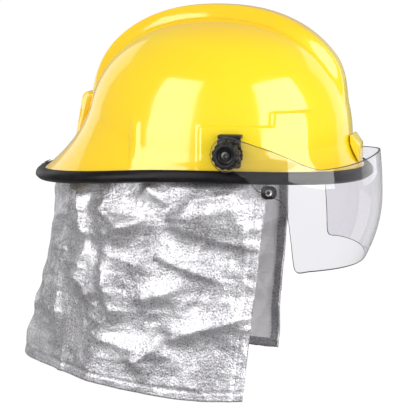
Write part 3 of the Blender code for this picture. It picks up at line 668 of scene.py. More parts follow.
def shell_base(theta, v, inset=0.0):
    """The shell's outer surface without relief: v 0 crown, 1 where the flare starts, 2 edge."""
    theta, v = np.broadcast_arrays(np.asarray(theta, float), np.asarray(v, float))
    start_z = mix(theta, *FLARE_START_Z)
    lowest = np.arccos(((start_z - WAIST_Z) / DOME_RISE) ** (DOME_POWER / 2))
    tilt = lowest * np.minimum(v, 1.0)
    plan_x, plan_y = oval(theta, DOME_FRONT - inset, DOME_REAR - inset, DOME_SIDE - inset)
    grow = np.sin(tilt) ** (2 / DOME_POWER)
    dome_z = WAIST_Z + (DOME_RISE - inset) * np.cos(tilt) ** (2 / DOME_POWER)
    u = np.maximum(v - 1.0, 0.0)
    bend_out, bend_z = (mix(theta, *pair) for pair in zip(*FLARE_BEND))
    edge_out, edge_z = (mix(theta, *pair) for pair in zip(*FLARE_EDGE))
    out = 2 * u * (1 - u) * bend_out + u * u * edge_out
    low_z = (1 - u) ** 2 * start_z + 2 * u * (1 - u) * bend_z + u * u * edge_z
    z = np.where(v <= 1.0, dome_z, low_z)
    away_x, away_y = np.cos(theta) / DOME_FRONT, np.sin(theta) / DOME_SIDE
    size = np.hypot(away_x, away_y)
    return np.stack([plan_x * grow + away_x / size * out, plan_y * grow + away_y / size * out, z],
                    axis=-1)


def shell_normal(theta, v):
    step = 1e-3
    theta, v = np.broadcast_arrays(np.asarray(theta, float), np.asarray(v, float))
    steady = np.maximum(v, 0.004)
    around = shell_base(theta + step, steady) - shell_base(theta - step, steady)
    down = (shell_base(theta, np.minimum(steady + step, 2.0))
            - shell_base(theta, np.maximum(steady - step, 0.002)))
    return unit(np.cross(down, around))


def relief(points):
    """How far the moulded side panels, rear, knob and front, stand out of the base surface."""
    x, y, z = points[..., 0], points[..., 1], points[..., 2]
    beside = ease((np.abs(y) - 60 * MM) / (20 * MM))
    foot = ease((z - 4 * MM) / (12 * MM))
    rear_panel = REAR_PANEL_RAISE * box_weight(x, -58 * MM, 10 * MM, PANEL_EDGE)
    rear_panel = rear_panel * ease((64 * MM - z) / (28 * MM))
    rear_edge = 0.8 * MM * box_weight(x, -59 * MM, -50 * MM, 3 * MM)
    rear_panel += rear_edge * ease((50 * MM - z) / (8 * MM))
    knob_panel = PANEL_RAISE * box_weight(x, 5 * MM, 72 * MM, PANEL_EDGE)
    knob_panel = knob_panel * ease((44 * MM - z) / PANEL_EDGE + 0.5)
    front_panel = PANEL_RAISE * ease((x - 67 * MM) / (2 * PANEL_EDGE) + 0.5)
    front_panel = front_panel * ease((114 * MM - x) / (20 * MM))
    front_panel = front_panel * ease((56 * MM - z) / PANEL_EDGE + 0.5)
    return beside * foot * np.maximum(rear_panel, np.maximum(knob_panel, front_panel))


def shell_point(theta, v, stand_off=0.0):
    base = shell_base(theta, v)
    return base + shell_normal(theta, v) * (relief(base) + stand_off)[..., None]


def shell_rows():
    """Stations from the crown to the edge, closer where the side panels' edges are."""
    top = np.linspace(0.0, 0.60, 44, endpoint=False)
    wall = np.linspace(0.60, 1.0, 60, endpoint=False)
    flare = np.linspace(1.0, 2.0, 40)
    return np.concatenate([top, wall, flare])


def dome_surface(y, turn):
    """The dome where a plane y cuts it, at an angle up from the front, with its unit normal."""
    lean = np.abs(y / DOME_SIDE) ** PLAN_POWER
    low, high = np.zeros_like(turn + y), np.full_like(turn + y, 0.2)
    length = np.where(np.cos(turn) >= 0, DOME_FRONT, DOME_REAR)
    for _ in range(44):
        reach = (low + high) / 2
        across = (np.abs(reach * np.cos(turn)) / length) ** PLAN_POWER + lean
        full = (across ** (DOME_POWER / PLAN_POWER)
                + (reach * np.sin(turn) / DOME_RISE) ** DOME_POWER)
        low, high = np.where(full < 1, reach, low), np.where(full < 1, high, reach)
    x, z = reach * np.cos(turn), reach * np.sin(turn)
    across = np.maximum((np.abs(x) / length) ** PLAN_POWER + lean, 1e-9)
    share = across ** (DOME_POWER / PLAN_POWER - 1)
    slope = np.stack([share * np.sign(x) * (np.abs(x) / length) ** (PLAN_POWER - 1) / length,
                      share * np.sign(y) * (np.abs(y) / DOME_SIDE) ** (PLAN_POWER - 1) / DOME_SIDE,
                      (z / DOME_RISE) ** (DOME_POWER - 1) / DOME_RISE], axis=-1)
    return np.stack([x, y + 0 * x, z + WAIST_Z], axis=-1), unit(slope), z / DOME_RISE


def crest_profile(station):
    """Heights across the crest as (y, height share): crisp foot at the rear, soft at the front."""
    soft = ease((station + 0.15) / 0.5)
    foot = CREST_BASE + (6.0 * MM) * soft
    edge = CREST_FLAT
    across = np.concatenate([np.linspace(0, edge, 6, endpoint=False),
                             np.linspace(edge, foot, 15)])
    part = np.clip((across - edge) / (foot - edge), 0.0, 1.0)
    rounded = np.clip(part / 0.97, 0, 1)
    crisp = 1 - rounded ** 1.35
    flowing = (1 - ease(rounded)) ** 1.15
    share = crisp * (1 - soft) + flowing * soft
    crown = 1.0 + 0.02 * (1 - (np.clip(across / edge, 0, 1)) ** 2)
    return across, share * crown


def crest():
    """The crest's outside as a closed bar that sinks into the dome along both feet."""
    stations = 170
    turns = np.linspace(math.radians(7), math.pi - math.radians(4), stations)
    sections = []
    for turn in turns:
        across, share = crest_profile(math.cos(turn))
        y = np.concatenate([-across[::-1], across[1:]])
        shares = np.concatenate([share[::-1], share[1:]])
        surface, normal, rise = dome_surface(y, np.full(len(y), turn))
        low_z, high_z = CREST_FADE_FRONT_Z if math.cos(turn) > 0 else CREST_FADE_REAR_Z
        middle = len(y) // 2
        fade = ease((surface[middle, 2] - low_z) / (high_z - low_z))
        lift = CREST_HEIGHT * np.sqrt(max(rise[middle], 0.0)) * fade
        outside = surface + normal * (shares * lift - 0.35 * MM)[:, None]
        inner, inward, _ = dome_surface(y * 0.96, np.full(len(y), turn))
        under = (inner - inward * 2.2 * MM)[::-1]
        sections.append(np.concatenate([outside, under]))
    return loft("crest_outside", sections, "yellow", sharp=60)


def rear_lug():
    """The wedge-shaped lug on the back wall: rounded at its top, dying out into the flare."""
    side = np.array([(-117, 61), (-119.5, 64), (-123.5, 65), (-127, 63), (-129, 58.5),
                     (-130.6, 50), (-132.8, 38), (-135, 25), (-136.6, 19.5), (-134.5, 18.5),
                     (-126, 38)]) * MM
    outline = catmull(side, 4, closed=True)
    centre = np.array([-126.5, 44]) * MM
    sections = []
    for part in np.linspace(-1, 1, 25):
        edge = max(abs(part) - 0.78, 0.0) / 0.22
        shrink = (1 - math.sqrt(max(1 - edge ** 2, 0.0))) * 2.4 * MM
        line = outline + unit(centre - outline) * shrink
        sections.append([(x, part * LUG_HALF, z) for x, z in line])
    return loft("lug", sections, "yellow", sharp=50)


def outer_shell():
    """Shell with its moulded relief, rolled edge and rough inner face."""
    ribs = 480
    theta = 2 * math.pi * np.arange(ribs) / ribs
    rows = shell_rows()
    outside = shell_point(theta[None, :], rows[:, None])
    inner_rows = np.concatenate([np.linspace(2.0, 1.0, 9), np.linspace(0.9, 0.0, 10)])
    bore = shell_base(theta[None, :], inner_rows[:, None])
    bore = bore - shell_normal(theta[None, :], inner_rows[:, None]) * SHELL_THICK
    grid = np.concatenate([outside, bore])
    faces = grid_faces(len(grid), ribs, wrap_columns=True)
    looks = np.zeros(len(faces), int)
    looks[len(rows) * ribs:] = 1
    wall = mesh_object("wall", grid.reshape(-1, 3), faces, ["yellow", "laminate"], looks,
                       sharp=50)
    made = join("shell", [wall, crest(), rear_lug()])
    return settle(made, "helmet", "yellow", "outer_shell")


# ---------------------------------------------------------------- trim, clip and badge block

def rim_frames(theta):
    """Edge points with the wall's downward and outward directions."""
    edge = shell_point(theta, 2.0)
    out = shell_normal(theta, 2.0)
    down = unit(shell_base(theta, 2.0) - shell_base(theta, 1.98))
    return edge, down, out


def rim_sections(theta, outline):
    edge, down, out = rim_frames(theta)
    outline = np.asarray(outline)
    return (edge[:, None] + down[:, None] * outline[None, :, :1]
            + out[:, None] * outline[None, :, 1:])


def edge_trim():
    """The rubber channel: rounded outside with a moulded ridge, slot and inner lip."""
    outside = [(-6, 1.6), (-5.7, 2.3), (-3.5, 3.35), (0.5, 3.5), (3.3, 1.9), (4.4, -1.5),
               (3.3, -4.9), (0.5, -6.5), (-3.5, -6.4), (-5.7, -5.7), (-6, -5.0)]
    smooth = catmull(outside, 4) * MM
    ridge = np.exp(-((np.arange(len(smooth)) - 18.0) / 1.1) ** 2) * 0.45 * MM
    centre = np.array([-1.0, -1.5]) * MM
    smooth = smooth + unit(smooth - centre) * ridge[:, None]
    slot_out, slot_in = 0.2 * MM, -SHELL_THICK - 0.2 * MM
    channel = np.array([(-6 * MM, slot_in), (0.3 * MM, slot_in), (0.3 * MM, slot_out),
                        (-6 * MM, slot_out)])
    outline = np.concatenate([smooth, channel])
    theta = 2 * math.pi * np.arange(320) / 320
    made = loft("rubber_trim", rim_sections(theta, outline), "rubber", ring=True, sharp=55)
    return settle(made, "helmet", "rubber", "edge_trim")


def trim_joint_clip():
    """The crimped sheet clip over the trim's joint at the rear, with two crimp channels."""
    wrap = catmull([(-4.5, 3.8), (0.5, 4.1), (3.8, 2.5), (5.1, -1.5), (3.8, -5.5), (0.5, -7.2),
                    (-4.5, -7.0)], 5) * MM
    centre = np.array([-1.0, -1.5]) * MM
    sections = []
    angles = np.radians(np.linspace(177.4, 182.6, 25))
    for i, angle in enumerate(angles):
        part = i / (len(angles) - 1)
        crimp = 0.35 * MM * sum(np.exp(-((part - at) / 0.06) ** 2) for at in (0.3, 0.7))
        outer = wrap + unit(wrap - centre) * (0.75 * MM - crimp)
        inner = wrap + unit(wrap - centre) * 0.05 * MM
        sections.append(rim_sections(np.array([angle]), np.concatenate([inner, outer[::-1]]))[0])
    made = loft("joint_clip", sections, "steel", sharp=40)
    return settle(made, "helmet", "steel", "trim_joint_clip")


def badge_block():
    """The flat-faced block at the front, with rounded edges and a shallow framed face."""
    face_x, half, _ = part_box("front_badge_plate")[1]
    side = np.array([(0, 5.6), (0, 20.5), (-6.8, 29.5), (-9.0, 29.5), (-8.6, 22), (-5.8, 14.5),
                     (-1.4, 6)]) * MM
    sections = []
    for part in (-1, -0.97, -0.92, -0.86, 0.86, 0.92, 0.97, 1):
        narrow = 1.4 * MM * max(abs(part) - 0.82, 0.0) / 0.18
        sections.append([(face_x + x - (narrow if x > -1 * MM else 0.0), part * half, z)
                         for x, z in side])
    block = loft("block", sections, "yellow")
    soften(block, 1.0 * MM, 4, 25)
    corners = np.array([(face_x, y * half, z * MM) for y, z in
                        ((-0.68, 8.2), (0.68, 8.2), (0.68, 18.2), (-0.68, 18.2))])
    route = []
    for i in range(4):
        start, end = corners[i], corners[(i + 1) % 4]
        route += [start + (end - start) * t for t in np.linspace(0.08, 0.92, 12)]
    ridge = sweep("ridge", route, (1, 0, 0), rounded_section(0.18 * MM, 0.45 * MM, 0.17 * MM, 3),
                  "yellow", ring=True)
    made = join("badge_block", [block, ridge])
    return settle(made, "helmet", "yellow", "front_badge_plate")


# ---------------------------------------------------------------- visor

def lens_front(z):
    rise = z - LENS_FULLEST_Z
    return LENS_FRONT_X - np.where(rise > 0, 1.4, 4.6) * rise * rise


def lens_half_width(z):
    return LENS_Y - 1.1 * np.minimum(z, 0.0) ** 2


def lens_place(x, z):
    """Distance round the wrap: x along the flat ear, then 100 mm for the curve to the front."""
    part = np.clip((x - LENS_FLAT_X) / (lens_front(z) - LENS_FLAT_X), 0, 1)
    share = np.arcsin(part ** (LENS_POWER / 2)) * 2 / math.pi
    return np.where(x <= LENS_FLAT_X, x, LENS_FLAT_X + share * 100 * MM)


def lens_point(place, z, inward=0.0):
    """The lens's outer face on the wearer's left, inward by an amount."""
    turn = np.clip((place - LENS_FLAT_X) / (100 * MM), 0, 1) * math.pi / 2
    reach = lens_front(z) - LENS_FLAT_X - inward
    wide = lens_half_width(z) - inward
    x = np.where(place <= LENS_FLAT_X, place,
                 LENS_FLAT_X + reach * np.sin(turn) ** (2 / LENS_POWER))
    y = wide * np.cos(turn) ** (2 / LENS_POWER)
    return np.stack([x, y, z], axis=-1)


def lens_lines():
    """Upper and lower edges as (place, z) from the ear's back to the front centre."""
    upper, lower = [], []
    for degrees in (180, 150, 120, 95, 70):
        turn = math.radians(degrees)
        x, high = PIVOT.x + EAR_R * math.cos(turn), EAR_R * math.sin(turn)
        upper.append((x, PIVOT.z + high))
        lower.append((x, PIVOT.z - high))
    upper += mm([(42.7, 34.7), (50, 32.3), (57.5, 29.8), (63.5, 28), (69.4, 26.1), (77, 23),
                 (84.5, 19.7), (90, 17), (95, 14.2), (100.5, 11.7), (106.4, 9.5), (112, 8)])
    lower += mm([(46.5, 3), (50.6, 0), (55, -4.3), (60.2, -9.8), (67, -11.5), (72.7, -15),
                 (80.2, -19.5), (84.3, -27.4), (86, -38), (87.5, -53.2), (89.2, -74), (92, -83)])
    lines = []
    for line, last_z in ((upper, LENS_TOP_Z), (lower, LENS_BOTTOM_Z)):
        flat = [(float(lens_place(np.array(x), np.array(z))), z) for x, z in line]
        place, z = flat[-1]
        for i in range(1, 10):
            part = i / 9
            flat.append((place + (LENS_FLAT_X + 100 * MM - place) * part,
                         z + (last_z - z) * float(ease(np.array(part)))))
        lines.append(catmull(flat, 6))
    return lines


def lens_side(inward):
    """Grid of one half of the lens, from the lower edge up, ear to front centre."""
    upper, lower = lens_lines()
    rows = 44
    inner = (0.5 - 0.5 * np.cos(np.linspace(0, math.pi, rows)))[:, None]
    inner = 0.55 * inner + 0.45 * np.linspace(0, 1, rows)[:, None]
    tall = np.linalg.norm(upper - lower, axis=1)[None, :]
    border = LENS_BORDER / tall
    part = np.concatenate([0 * border, border + (1 - 2 * border) * inner, 1 + 0 * border])
    place = lower[None, :, 0] + (upper - lower)[None, :, 0] * part
    z = lower[None, :, 1] + (upper - lower)[None, :, 1] * part
    return lens_point(place, z, inward)


def visor_lens():
    """The clear sheet with softened edges and an open ear hole on each side."""
    half = lens_side(0.0)
    right = half * np.array([1, -1, 1])
    grid = np.concatenate([right, half[:, ::-1][:, 1:]], axis=1)
    rows, columns = grid.shape[:2]
    border = np.zeros((rows - 1, columns - 1), int)
    border[0, :] = border[-1, :] = 1
    made = mesh_object("visor_clear", grid.reshape(-1, 3), grid_faces(rows, columns),
                       ["clear", "lens_edge"], border.reshape(-1), inside=(0.03, 0, -0.03))
    wall = made.modifiers.new("wall", "SOLIDIFY")
    wall.thickness = LENS_THICK
    wall.material_offset_rim = 1
    wall.offset = -1
    wall.use_quality_normals = True
    apply_modifiers(made)
    for side in (-1, 1):
        hole = turned("hole", mm([(7, -8), (7, 8)]),
                      (PIVOT.x, side * LENS_Y, PIVOT.z), (0, 1, 0), "clear", sides=48)
        carve(made, hole)
    soften(made, 0.35 * MM, 2, 50)
    made.data.set_sharp_from_angle(angle=math.radians(40))
    return settle(made, "visor", "clear", "visor_lens")


# ---------------------------------------------------------------- visor pivots
# Along each pivot, from the nut inside to the bolt's boss, distances are from the middle plane.

KNOB_BACK_Y = 125.8 * MM


def knob_profile(turn, lobes, depth):
    """A scalloped edge: round lobes with narrower valleys."""
    wave = 0.5 - 0.5 * math.cos(lobes * turn)
    return depth * wave ** 1.6


def hand_knob(name, centre, axis, radius, tall, lobes, depth, recess, body, node):
    """A scalloped knob with softened rims, and a recess in its face if one is given."""
    back = mm([(1.6, 0), (0.5, 0.25), (0.05, 1), (0, 2)])
    face = mm([(0.25, 2.2), (0.9, 0.9), (1.8, 0.25), (3, 0)])
    rim = [(radius - cut_in, along) for cut_in, along in back]
    rim.append((radius, tall * 0.62))
    rim += [(radius - cut_in, tall - below) for cut_in, below in face]
    if recess:
        rim += [(recess + 0.7 * MM, tall), (recess + 0.2 * MM, tall - 0.25 * MM),
                (recess, tall - 0.9 * MM), (recess - 0.2 * MM, tall - 4.3 * MM),
                (recess - 0.8 * MM, tall - 5.0 * MM), (recess * 0.45, tall - 5.0 * MM),
                (0.2 * MM, tall - 5.0 * MM)]
    else:
        rim += [(radius * 0.45, tall), (0.4 * MM, tall)]

    def wobble(reach, along, turn, _):
        part = float(ease(np.array((reach - radius + 4.0 * MM) / (3.0 * MM))))
        return reach - knob_profile(turn, lobes, depth) * part

    made = turned(name, rim, centre, axis, "nylon", sides=lobes * 16, sharp=50, wobble=wobble)
    return settle(made, body, "nylon", node)


def pivot_bolt(side, sign):
    """The bolt with its threaded end and domed boss in the knob's recess."""
    start = 103 * MM
    centre = (PIVOT.x, 0, PIVOT.z)
    profile = [(0.3 * MM, start), (2.4 * MM, start), (3.0 * MM, start + 0.5 * MM)]
    along, pitch, thread_end = start + 1.0 * MM, 0.8 * MM, start + 9 * MM
    while along < thread_end:
        profile += [(3.0 * MM, along), (2.55 * MM, along + pitch / 2)]
        along += pitch
    profile.append((3.0 * MM, along))
    profile += mm([(3.0, 130.6), (4.2, 130.7), (4.2, 132.2), (3.8, 132.8), (2.0, 133.1),
                   (1.6, 132.6), (0.3, 132.5)])
    made = turned("pivot_bolt_" + side + "_turned", profile, centre, (0, sign, 0), "dark_steel",
                  sides=40)
    return settle(made, "helmet", "dark_steel", "pivot_bolt_" + side)


def pivot_washer(side, sign):
    """The toothed steel disc between the bracket and the lens, with a raised rim."""
    teeth, radius = 24, 13.4 * MM
    profile = mm([(3.3, 121.5), (13.4, 121.5), (13.4, 122.3), (12.0, 122.5), (9, 122.4),
                  (3.3, 122.5)])

    def wobble(reach, along, turn, _):
        if reach < radius - 2 * MM:
            return reach
        return reach - 0.9 * MM * (0.5 - 0.5 * math.cos(teeth * turn)) ** 2

    made = turned("pivot_washer_" + side + "_toothed", profile, (PIVOT.x, 0, PIVOT.z),
                  (0, sign, 0), "dark_steel", sides=teeth * 8, wobble=wobble, ring=True)
    return settle(made, "helmet", "dark_steel", "pivot_washer_" + side)


def rounded_block(name, low, high, radius, look, segments=3):
    """A block with rounded edges between two corners."""
    low, high = Vector(low), Vector(high)
    corners = [(x, y, z) for x in (low.x, high.x) for y in (low.y, high.y) for z in (low.z, high.z)]
    faces = [(0, 1, 3, 2), (4, 6, 7, 5), (0, 4, 5, 1), (2, 3, 7, 6), (0, 2, 6, 4), (1, 5, 7, 3)]
    made = mesh_object(name, corners, faces, look)
    soften(made, radius, segments)
    return made


def pivot_bracket(side, sign):
    """The nylon spacer under the pivot, carried in to the shell, with its flange above."""
    low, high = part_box("pivot_bracket_" + side)
    inner = sign * 111.6 * MM
    low.y, high.y = min(low.y, inner), max(high.y, inner)
    made = rounded_block("pivot_bracket_" + side + "_moulded", low, high, 1.6 * MM, "nylon")
    settle(made, "helmet", "nylon", "pivot_bracket_" + side)
    low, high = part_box("bracket_flange_" + side)
    inner = sign * 111.0 * MM
    low.y, high.y = min(low.y, inner), max(high.y, inner)
    bar = rounded_block("bar", low, high, 0.9 * MM, "nylon")
    ribs = []
    for k in range(3):
        x = low.x + (high.x - low.x) * (k + 1) / 4
        ribs.append(rounded_block("rib", (x - 0.6 * MM, low.y + 0.4 * MM, low.z - 0.5 * MM),
                                  (x + 0.6 * MM, high.y - 0.6 * MM, low.z + 1 * MM),
                                  0.3 * MM, "nylon", 2))
    made = join("bracket_flange_" + side + "_moulded", [bar] + ribs)
    return settle(made, "helmet", "nylon", "bracket_flange_" + side)


def pivot_inner_parts():
    """The hexagonal nut inside the shell and the bush the lens turns on."""
    for side, sign in SIDES:
        centre = (PIVOT.x, 0, PIVOT.z)
        nut = turned("pivot_nut_" + side + "_hex",
                     mm([(3.2, 103.2), (5.3, 103.2), (6, 103.6), (6, 106.2), (5.3, 106.6),
                         (3.2, 106.6)]),
                     centre, (0, sign, 0), "steel", sides=6, sharp=20, ring=True)
        settle(nut, "helmet", "steel", "pivot_nut_" + side)
        bush = turned("visor_bush_" + side + "_turned",
                      mm([(3.4, 122.9), (6.3, 122.9), (6.6, 123.2), (6.6, 125.1), (6.3, 125.4),
                          (3.4, 125.4)]),
                      centre, (0, sign, 0), "nylon", sides=64, ring=True)
        settle(bush, "visor", "nylon", "visor_bush_" + side)


def pivot_sets():
    for side, sign in SIDES:
        pivot_bolt(side, sign)
        pivot_washer(side, sign)
        pivot_bracket(side, sign)
        hand_knob("visor_knob_" + side + "_scalloped", (PIVOT.x, sign * KNOB_BACK_Y, PIVOT.z),
                  (0, sign, 0), radius=12.5 * MM, tall=10.2 * MM, lobes=12, depth=1.1 * MM,
                  recess=7.5 * MM, body="knob_" + side, node="visor_knob_" + side)


# ---------------------------------------------------------------- neck cape

CAPE_THICK, CAPE_HEM = 1.3 * MM, 8.5 * MM
CAPE_COLUMNS, CAPE_ROWS = 340, 122
CAPE_STITCH = (2.6 * MM, 1.1 * MM, 0.32 * MM)
CAPE_LENGTH = CAPE_TOP_Z - CAPE_BOTTOM_Z


def cape_base(theta, down):
    """The hanging cloth without its creases: theta round from the front, down 0 to 1."""
    rear = 148 * MM + 36 * MM * down
    side = 106 * MM + 6 * MM * ease(4 * down)
    x, y = oval(theta, 150 * MM, rear, side, 2.1)
    rear_rise = 15 * MM * ease(-0.06 - x / (160 * MM)) * down
    z = CAPE_TOP_Z - CAPE_LENGTH * down + rear_rise
    return np.stack([x, y, z + 0 * x], axis=-1)


def lattice_noise(x, y, seed):
    """Smooth noise from -1 to 1 on a lattice of spacing 1."""
    table = np.random.RandomState(seed).rand(64, 64) * 2 - 1
    column, row = np.floor(x).astype(int), np.floor(y).astype(int)
    fx, fy = x - column, y - row
    fx, fy = fx * fx * (3 - 2 * fx), fy * fy * (3 - 2 * fy)
    column, row = column % 64, row % 64
    after, below = (column + 1) % 64, (row + 1) % 64
    top = table[row, column] * (1 - fx) + table[row, after] * fx
    bottom = table[below, column] * (1 - fx) + table[below, after] * fx
    return top * (1 - fy) + bottom * fy


def fold(along, high, start, end, above, below, height):
    """A creased ridge from start to end: it falls off gently above the line and below it."""
    start, end = np.array(start, float), np.array(end, float)
    length = np.linalg.norm(end - start)
    ahead = (end - start) / length
    part = ((along - start[0]) * ahead[0] + (high - start[1]) * ahead[1]) / length
    off = (high - start[1]) * ahead[0] - (along - start[0]) * ahead[1]
    ends = ease((part + 0.12) / 0.4) * ease((1.12 - part) / 0.4)
    reach = np.where(off > 0, above, below)
    far = np.sqrt((off / reach) ** 2 + 0.01) - 0.1
    return height * ends * np.exp(-far)


# Creases of the near side, in mm: (start, end, fall-off above, fall-off below, height).
# The first number of a place runs forward from the middle of the side, the second is its height.
NEAR_CREASES = (
    ((-22, -37), (54, -26), 22, 17, 5.0),
    ((-20, -44), (62, -66), 26, 3.5, 2.6),
    ((-36, -73), (27, -92), 20, 4.0, 2.8),
    ((-58, -113), (-6, -99), 15, 10, 3.8),
    ((-34, -150), (50, -123), 18, 7, 4.2),
    ((-98, -27), (-56, -52), 12, 12, 4.0),
    ((-96, -60), (-40, -38), 9, 14, 4.0),
    ((-86, -78), (-76, -138), 12, 6, 4.2),
    ((-90, -70), (-40, -84), 6, 16, 2.6),
    ((-112, -118), (-78, -98), 14, 9, 3.0),
    ((-104, -150), (-40, -160), 20, 12, 4.2),
    ((-60, -176), (-30, -150), 8, 12, 3.0),
    ((-48, -8), (-22, -26), 10, 8, 3.2),
    ((-6, -24), (40, -14), 8, 7, 2.6),
    ((-120, -14), (-104, -66), 6, 14, 5.0),
    ((-104, -66), (-122, -110), 14, 6, 4.2),
    ((-140, -60), (-150, -160), 9, 9, 3.6),
)


def cape_relief(along, high):
    """How far the creased cloth stands out, in mm, at places in mm."""
    out = np.zeros_like(along)
    for crease in NEAR_CREASES:
        out += 1.6 * fold(along, high, *crease)
    draw = np.random.RandomState(11)
    for _ in range(34):
        start = np.array([draw.uniform(-520, -165), draw.uniform(-185, -15)])
        lean, length = draw.uniform(-0.9, 0.9), draw.uniform(28, 85)
        end = start + length * np.array([math.cos(lean), math.sin(lean)])
        out += fold(along, high, start, end, draw.uniform(8, 22), draw.uniform(4, 13),
                    draw.uniform(1.6, 4.2))
    down = np.clip(-high / 200, 0, 1)
    out += 2.6 * down * np.sin(2 * math.pi * along / 118 + 0.9)
    out += 5.0 * ease((-high - 146) / 46) - 3.5 * down
    for spacing, height, seed in ((30, 1.3, 3), (13, 0.55, 4), (6, 0.22, 5)):
        field = lattice_noise(along / spacing + 40, high / spacing + 40, seed)
        out += height * (1 - 2.2 * np.abs(field))
    free = ease(down / 0.06)
    return out * free


def grid_normal(points):
    """Unit normals of a grid of points."""
    return unit(np.cross(np.gradient(points, axis=0), np.gradient(points, axis=1)))


def cape_surface():
    """Grid of the outer face, its normals, and each point's distance from the free edges."""
    down = np.linspace(0, 1, CAPE_ROWS)[:, None]
    part = np.linspace(0, 1, CAPE_COLUMNS)[None, :]
    start, end = -65 - 9 * down, -289 + 4.5 * down
    theta = np.radians(start + (end - start) * part)
    base = cape_base(theta, down)
    steps = np.linalg.norm(np.diff(base, axis=1), axis=2)
    walked = np.concatenate([np.zeros((CAPE_ROWS, 1)), np.cumsum(steps, axis=1)], axis=1)
    beam = np.argmin(np.abs(theta + math.pi / 2), axis=1)
    along = (walked[np.arange(CAPE_ROWS), beam][:, None] - walked) / MM
    high = base[..., 2] / MM
    normal = grid_normal(base)
    if normal[CAPE_ROWS // 2, CAPE_COLUMNS // 2, 0] > 0:
        normal = -normal
    from_edge = np.minimum(walked, walked[:, -1:] - walked)
    from_hem = CAPE_LENGTH * (1 - down) + 0 * part
    seam = np.exp(-((from_edge - CAPE_HEM) / (1.1 * MM)) ** 2)
    seam = np.maximum(seam, np.exp(-((from_hem - CAPE_HEM) / (1.1 * MM)) ** 2))
    pucker = lattice_noise(high / 5.0 + 20, along / 5.0 + 20, 9)
    out = cape_relief(along, high) - seam * (0.95 + 0.35 * pucker)
    points = base + normal * (out * MM)[..., None]
    creased = grid_normal(points)
    facing = np.sign(np.sum(creased * normal, axis=-1, keepdims=True))
    return points, creased * facing, from_edge, from_hem


def cape_stitches(name, face, up, from_edge, from_hem):
    """Rows of thread along one face's free edges: the inner face has a second row at its sides."""
    threads = []
    half = CAPE_COLUMNS // 2
    insets = [("a", CAPE_HEM)] + ([("b", CAPE_HEM - 4 * MM)] if name == "inside" else [])
    for side, first in (("right", 0), ("left", half)):
        for line, inset in insets:
            rows = np.arange(3, CAPE_ROWS - 1)
            near = np.abs(from_edge[rows, first:first + half] - inset)
            columns = first + np.argmin(near, axis=1)
            threads.append(stitches("cape_stitch_" + "_".join((name, side, line)),
                                    smooth_line(face[rows, columns]), up[rows, columns],
                                    *CAPE_STITCH, "helmet"))
    row = int(np.argmin(np.abs(from_hem[:, 0] - CAPE_HEM)))
    inside = slice(6, CAPE_COLUMNS - 6)
    threads.append(stitches("cape_stitch_hem_" + name, smooth_line(face[row, inside]),
                            up[row, inside], *CAPE_STITCH, "helmet"))
    return threads


def neck_cape():
    """The aluminised cloth: creased outside, lined inside, with hems turned inwards."""
    points, normal, from_edge, from_hem = cape_surface()
    free = np.minimum(from_edge, from_hem)
    hem = ease((CAPE_HEM + 0.8 * MM - free) / (0.9 * MM))
    inner = points - normal * (CAPE_THICK + 0.9 * MM * hem)[..., None]
    count = CAPE_ROWS * CAPE_COLUMNS
    front = grid_faces(CAPE_ROWS, CAPE_COLUMNS)
    back = front[:, ::-1] + count
    index = np.arange(count).reshape(CAPE_ROWS, CAPE_COLUMNS)
    rim = np.concatenate([index[0, :], index[1:, -1], index[-1, :-1][::-1], index[1:-1, 0][::-1]])
    after = np.roll(rim, -1)
    border = np.stack([rim, after, after + count, rim + count], axis=-1)
    faces = np.concatenate([front, back, border])
    folded = (free.reshape(-1)[front].mean(axis=1) < CAPE_HEM).astype(int)
    looks = np.concatenate([np.zeros(len(front), int), 1 - folded, np.zeros(len(border), int)])
    everything = np.concatenate([points.reshape(-1, 3), inner.reshape(-1, 3)])
    made = mesh_object("cape_cloth", everything, faces, ["silver", "lining"], looks)
    settle(made, "helmet", "silver", "neck_cape")
    threads = []
    for name, face, up in (("outside", points, normal), ("inside", inner, -normal)):
        threads += cape_stitches(name, face, up, from_edge, from_hem)


def smooth_line(route):
    """A route with its jumps from column to column evened out."""
    route = np.asarray(route, float).copy()
    for _ in range(3):
        route[1:-1] = 0.25 * route[:-2] + 0.5 * route[1:-1] + 0.25 * route[2:]
    return route


# ---------------------------------------------------------------- liner and crown pad

LINER_LOW_Z, LINER_INSET, LINER_THICK = 29 * MM, SHELL_THICK + 2 * MM, 16 * MM


def shrunk_dome(theta, share, inset):
    """The dome's inside at an even inset; share runs from 0 at the crown to 1 at the rim."""
    lowest = np.arccos(((LINER_LOW_Z - WAIST_Z) / (DOME_RISE - inset)) ** (DOME_POWER / 2))
    tilt = lowest * share
    plan_x, plan_y = oval(theta, DOME_FRONT - inset, DOME_REAR - inset, DOME_SIDE - inset)
    grow = np.sin(tilt) ** (2 / DOME_POWER)
    z = WAIST_Z + (DOME_RISE - inset) * np.cos(tilt) ** (2 / DOME_POWER)
    return np.stack([plan_x * grow, plan_y * grow, z], axis=-1)


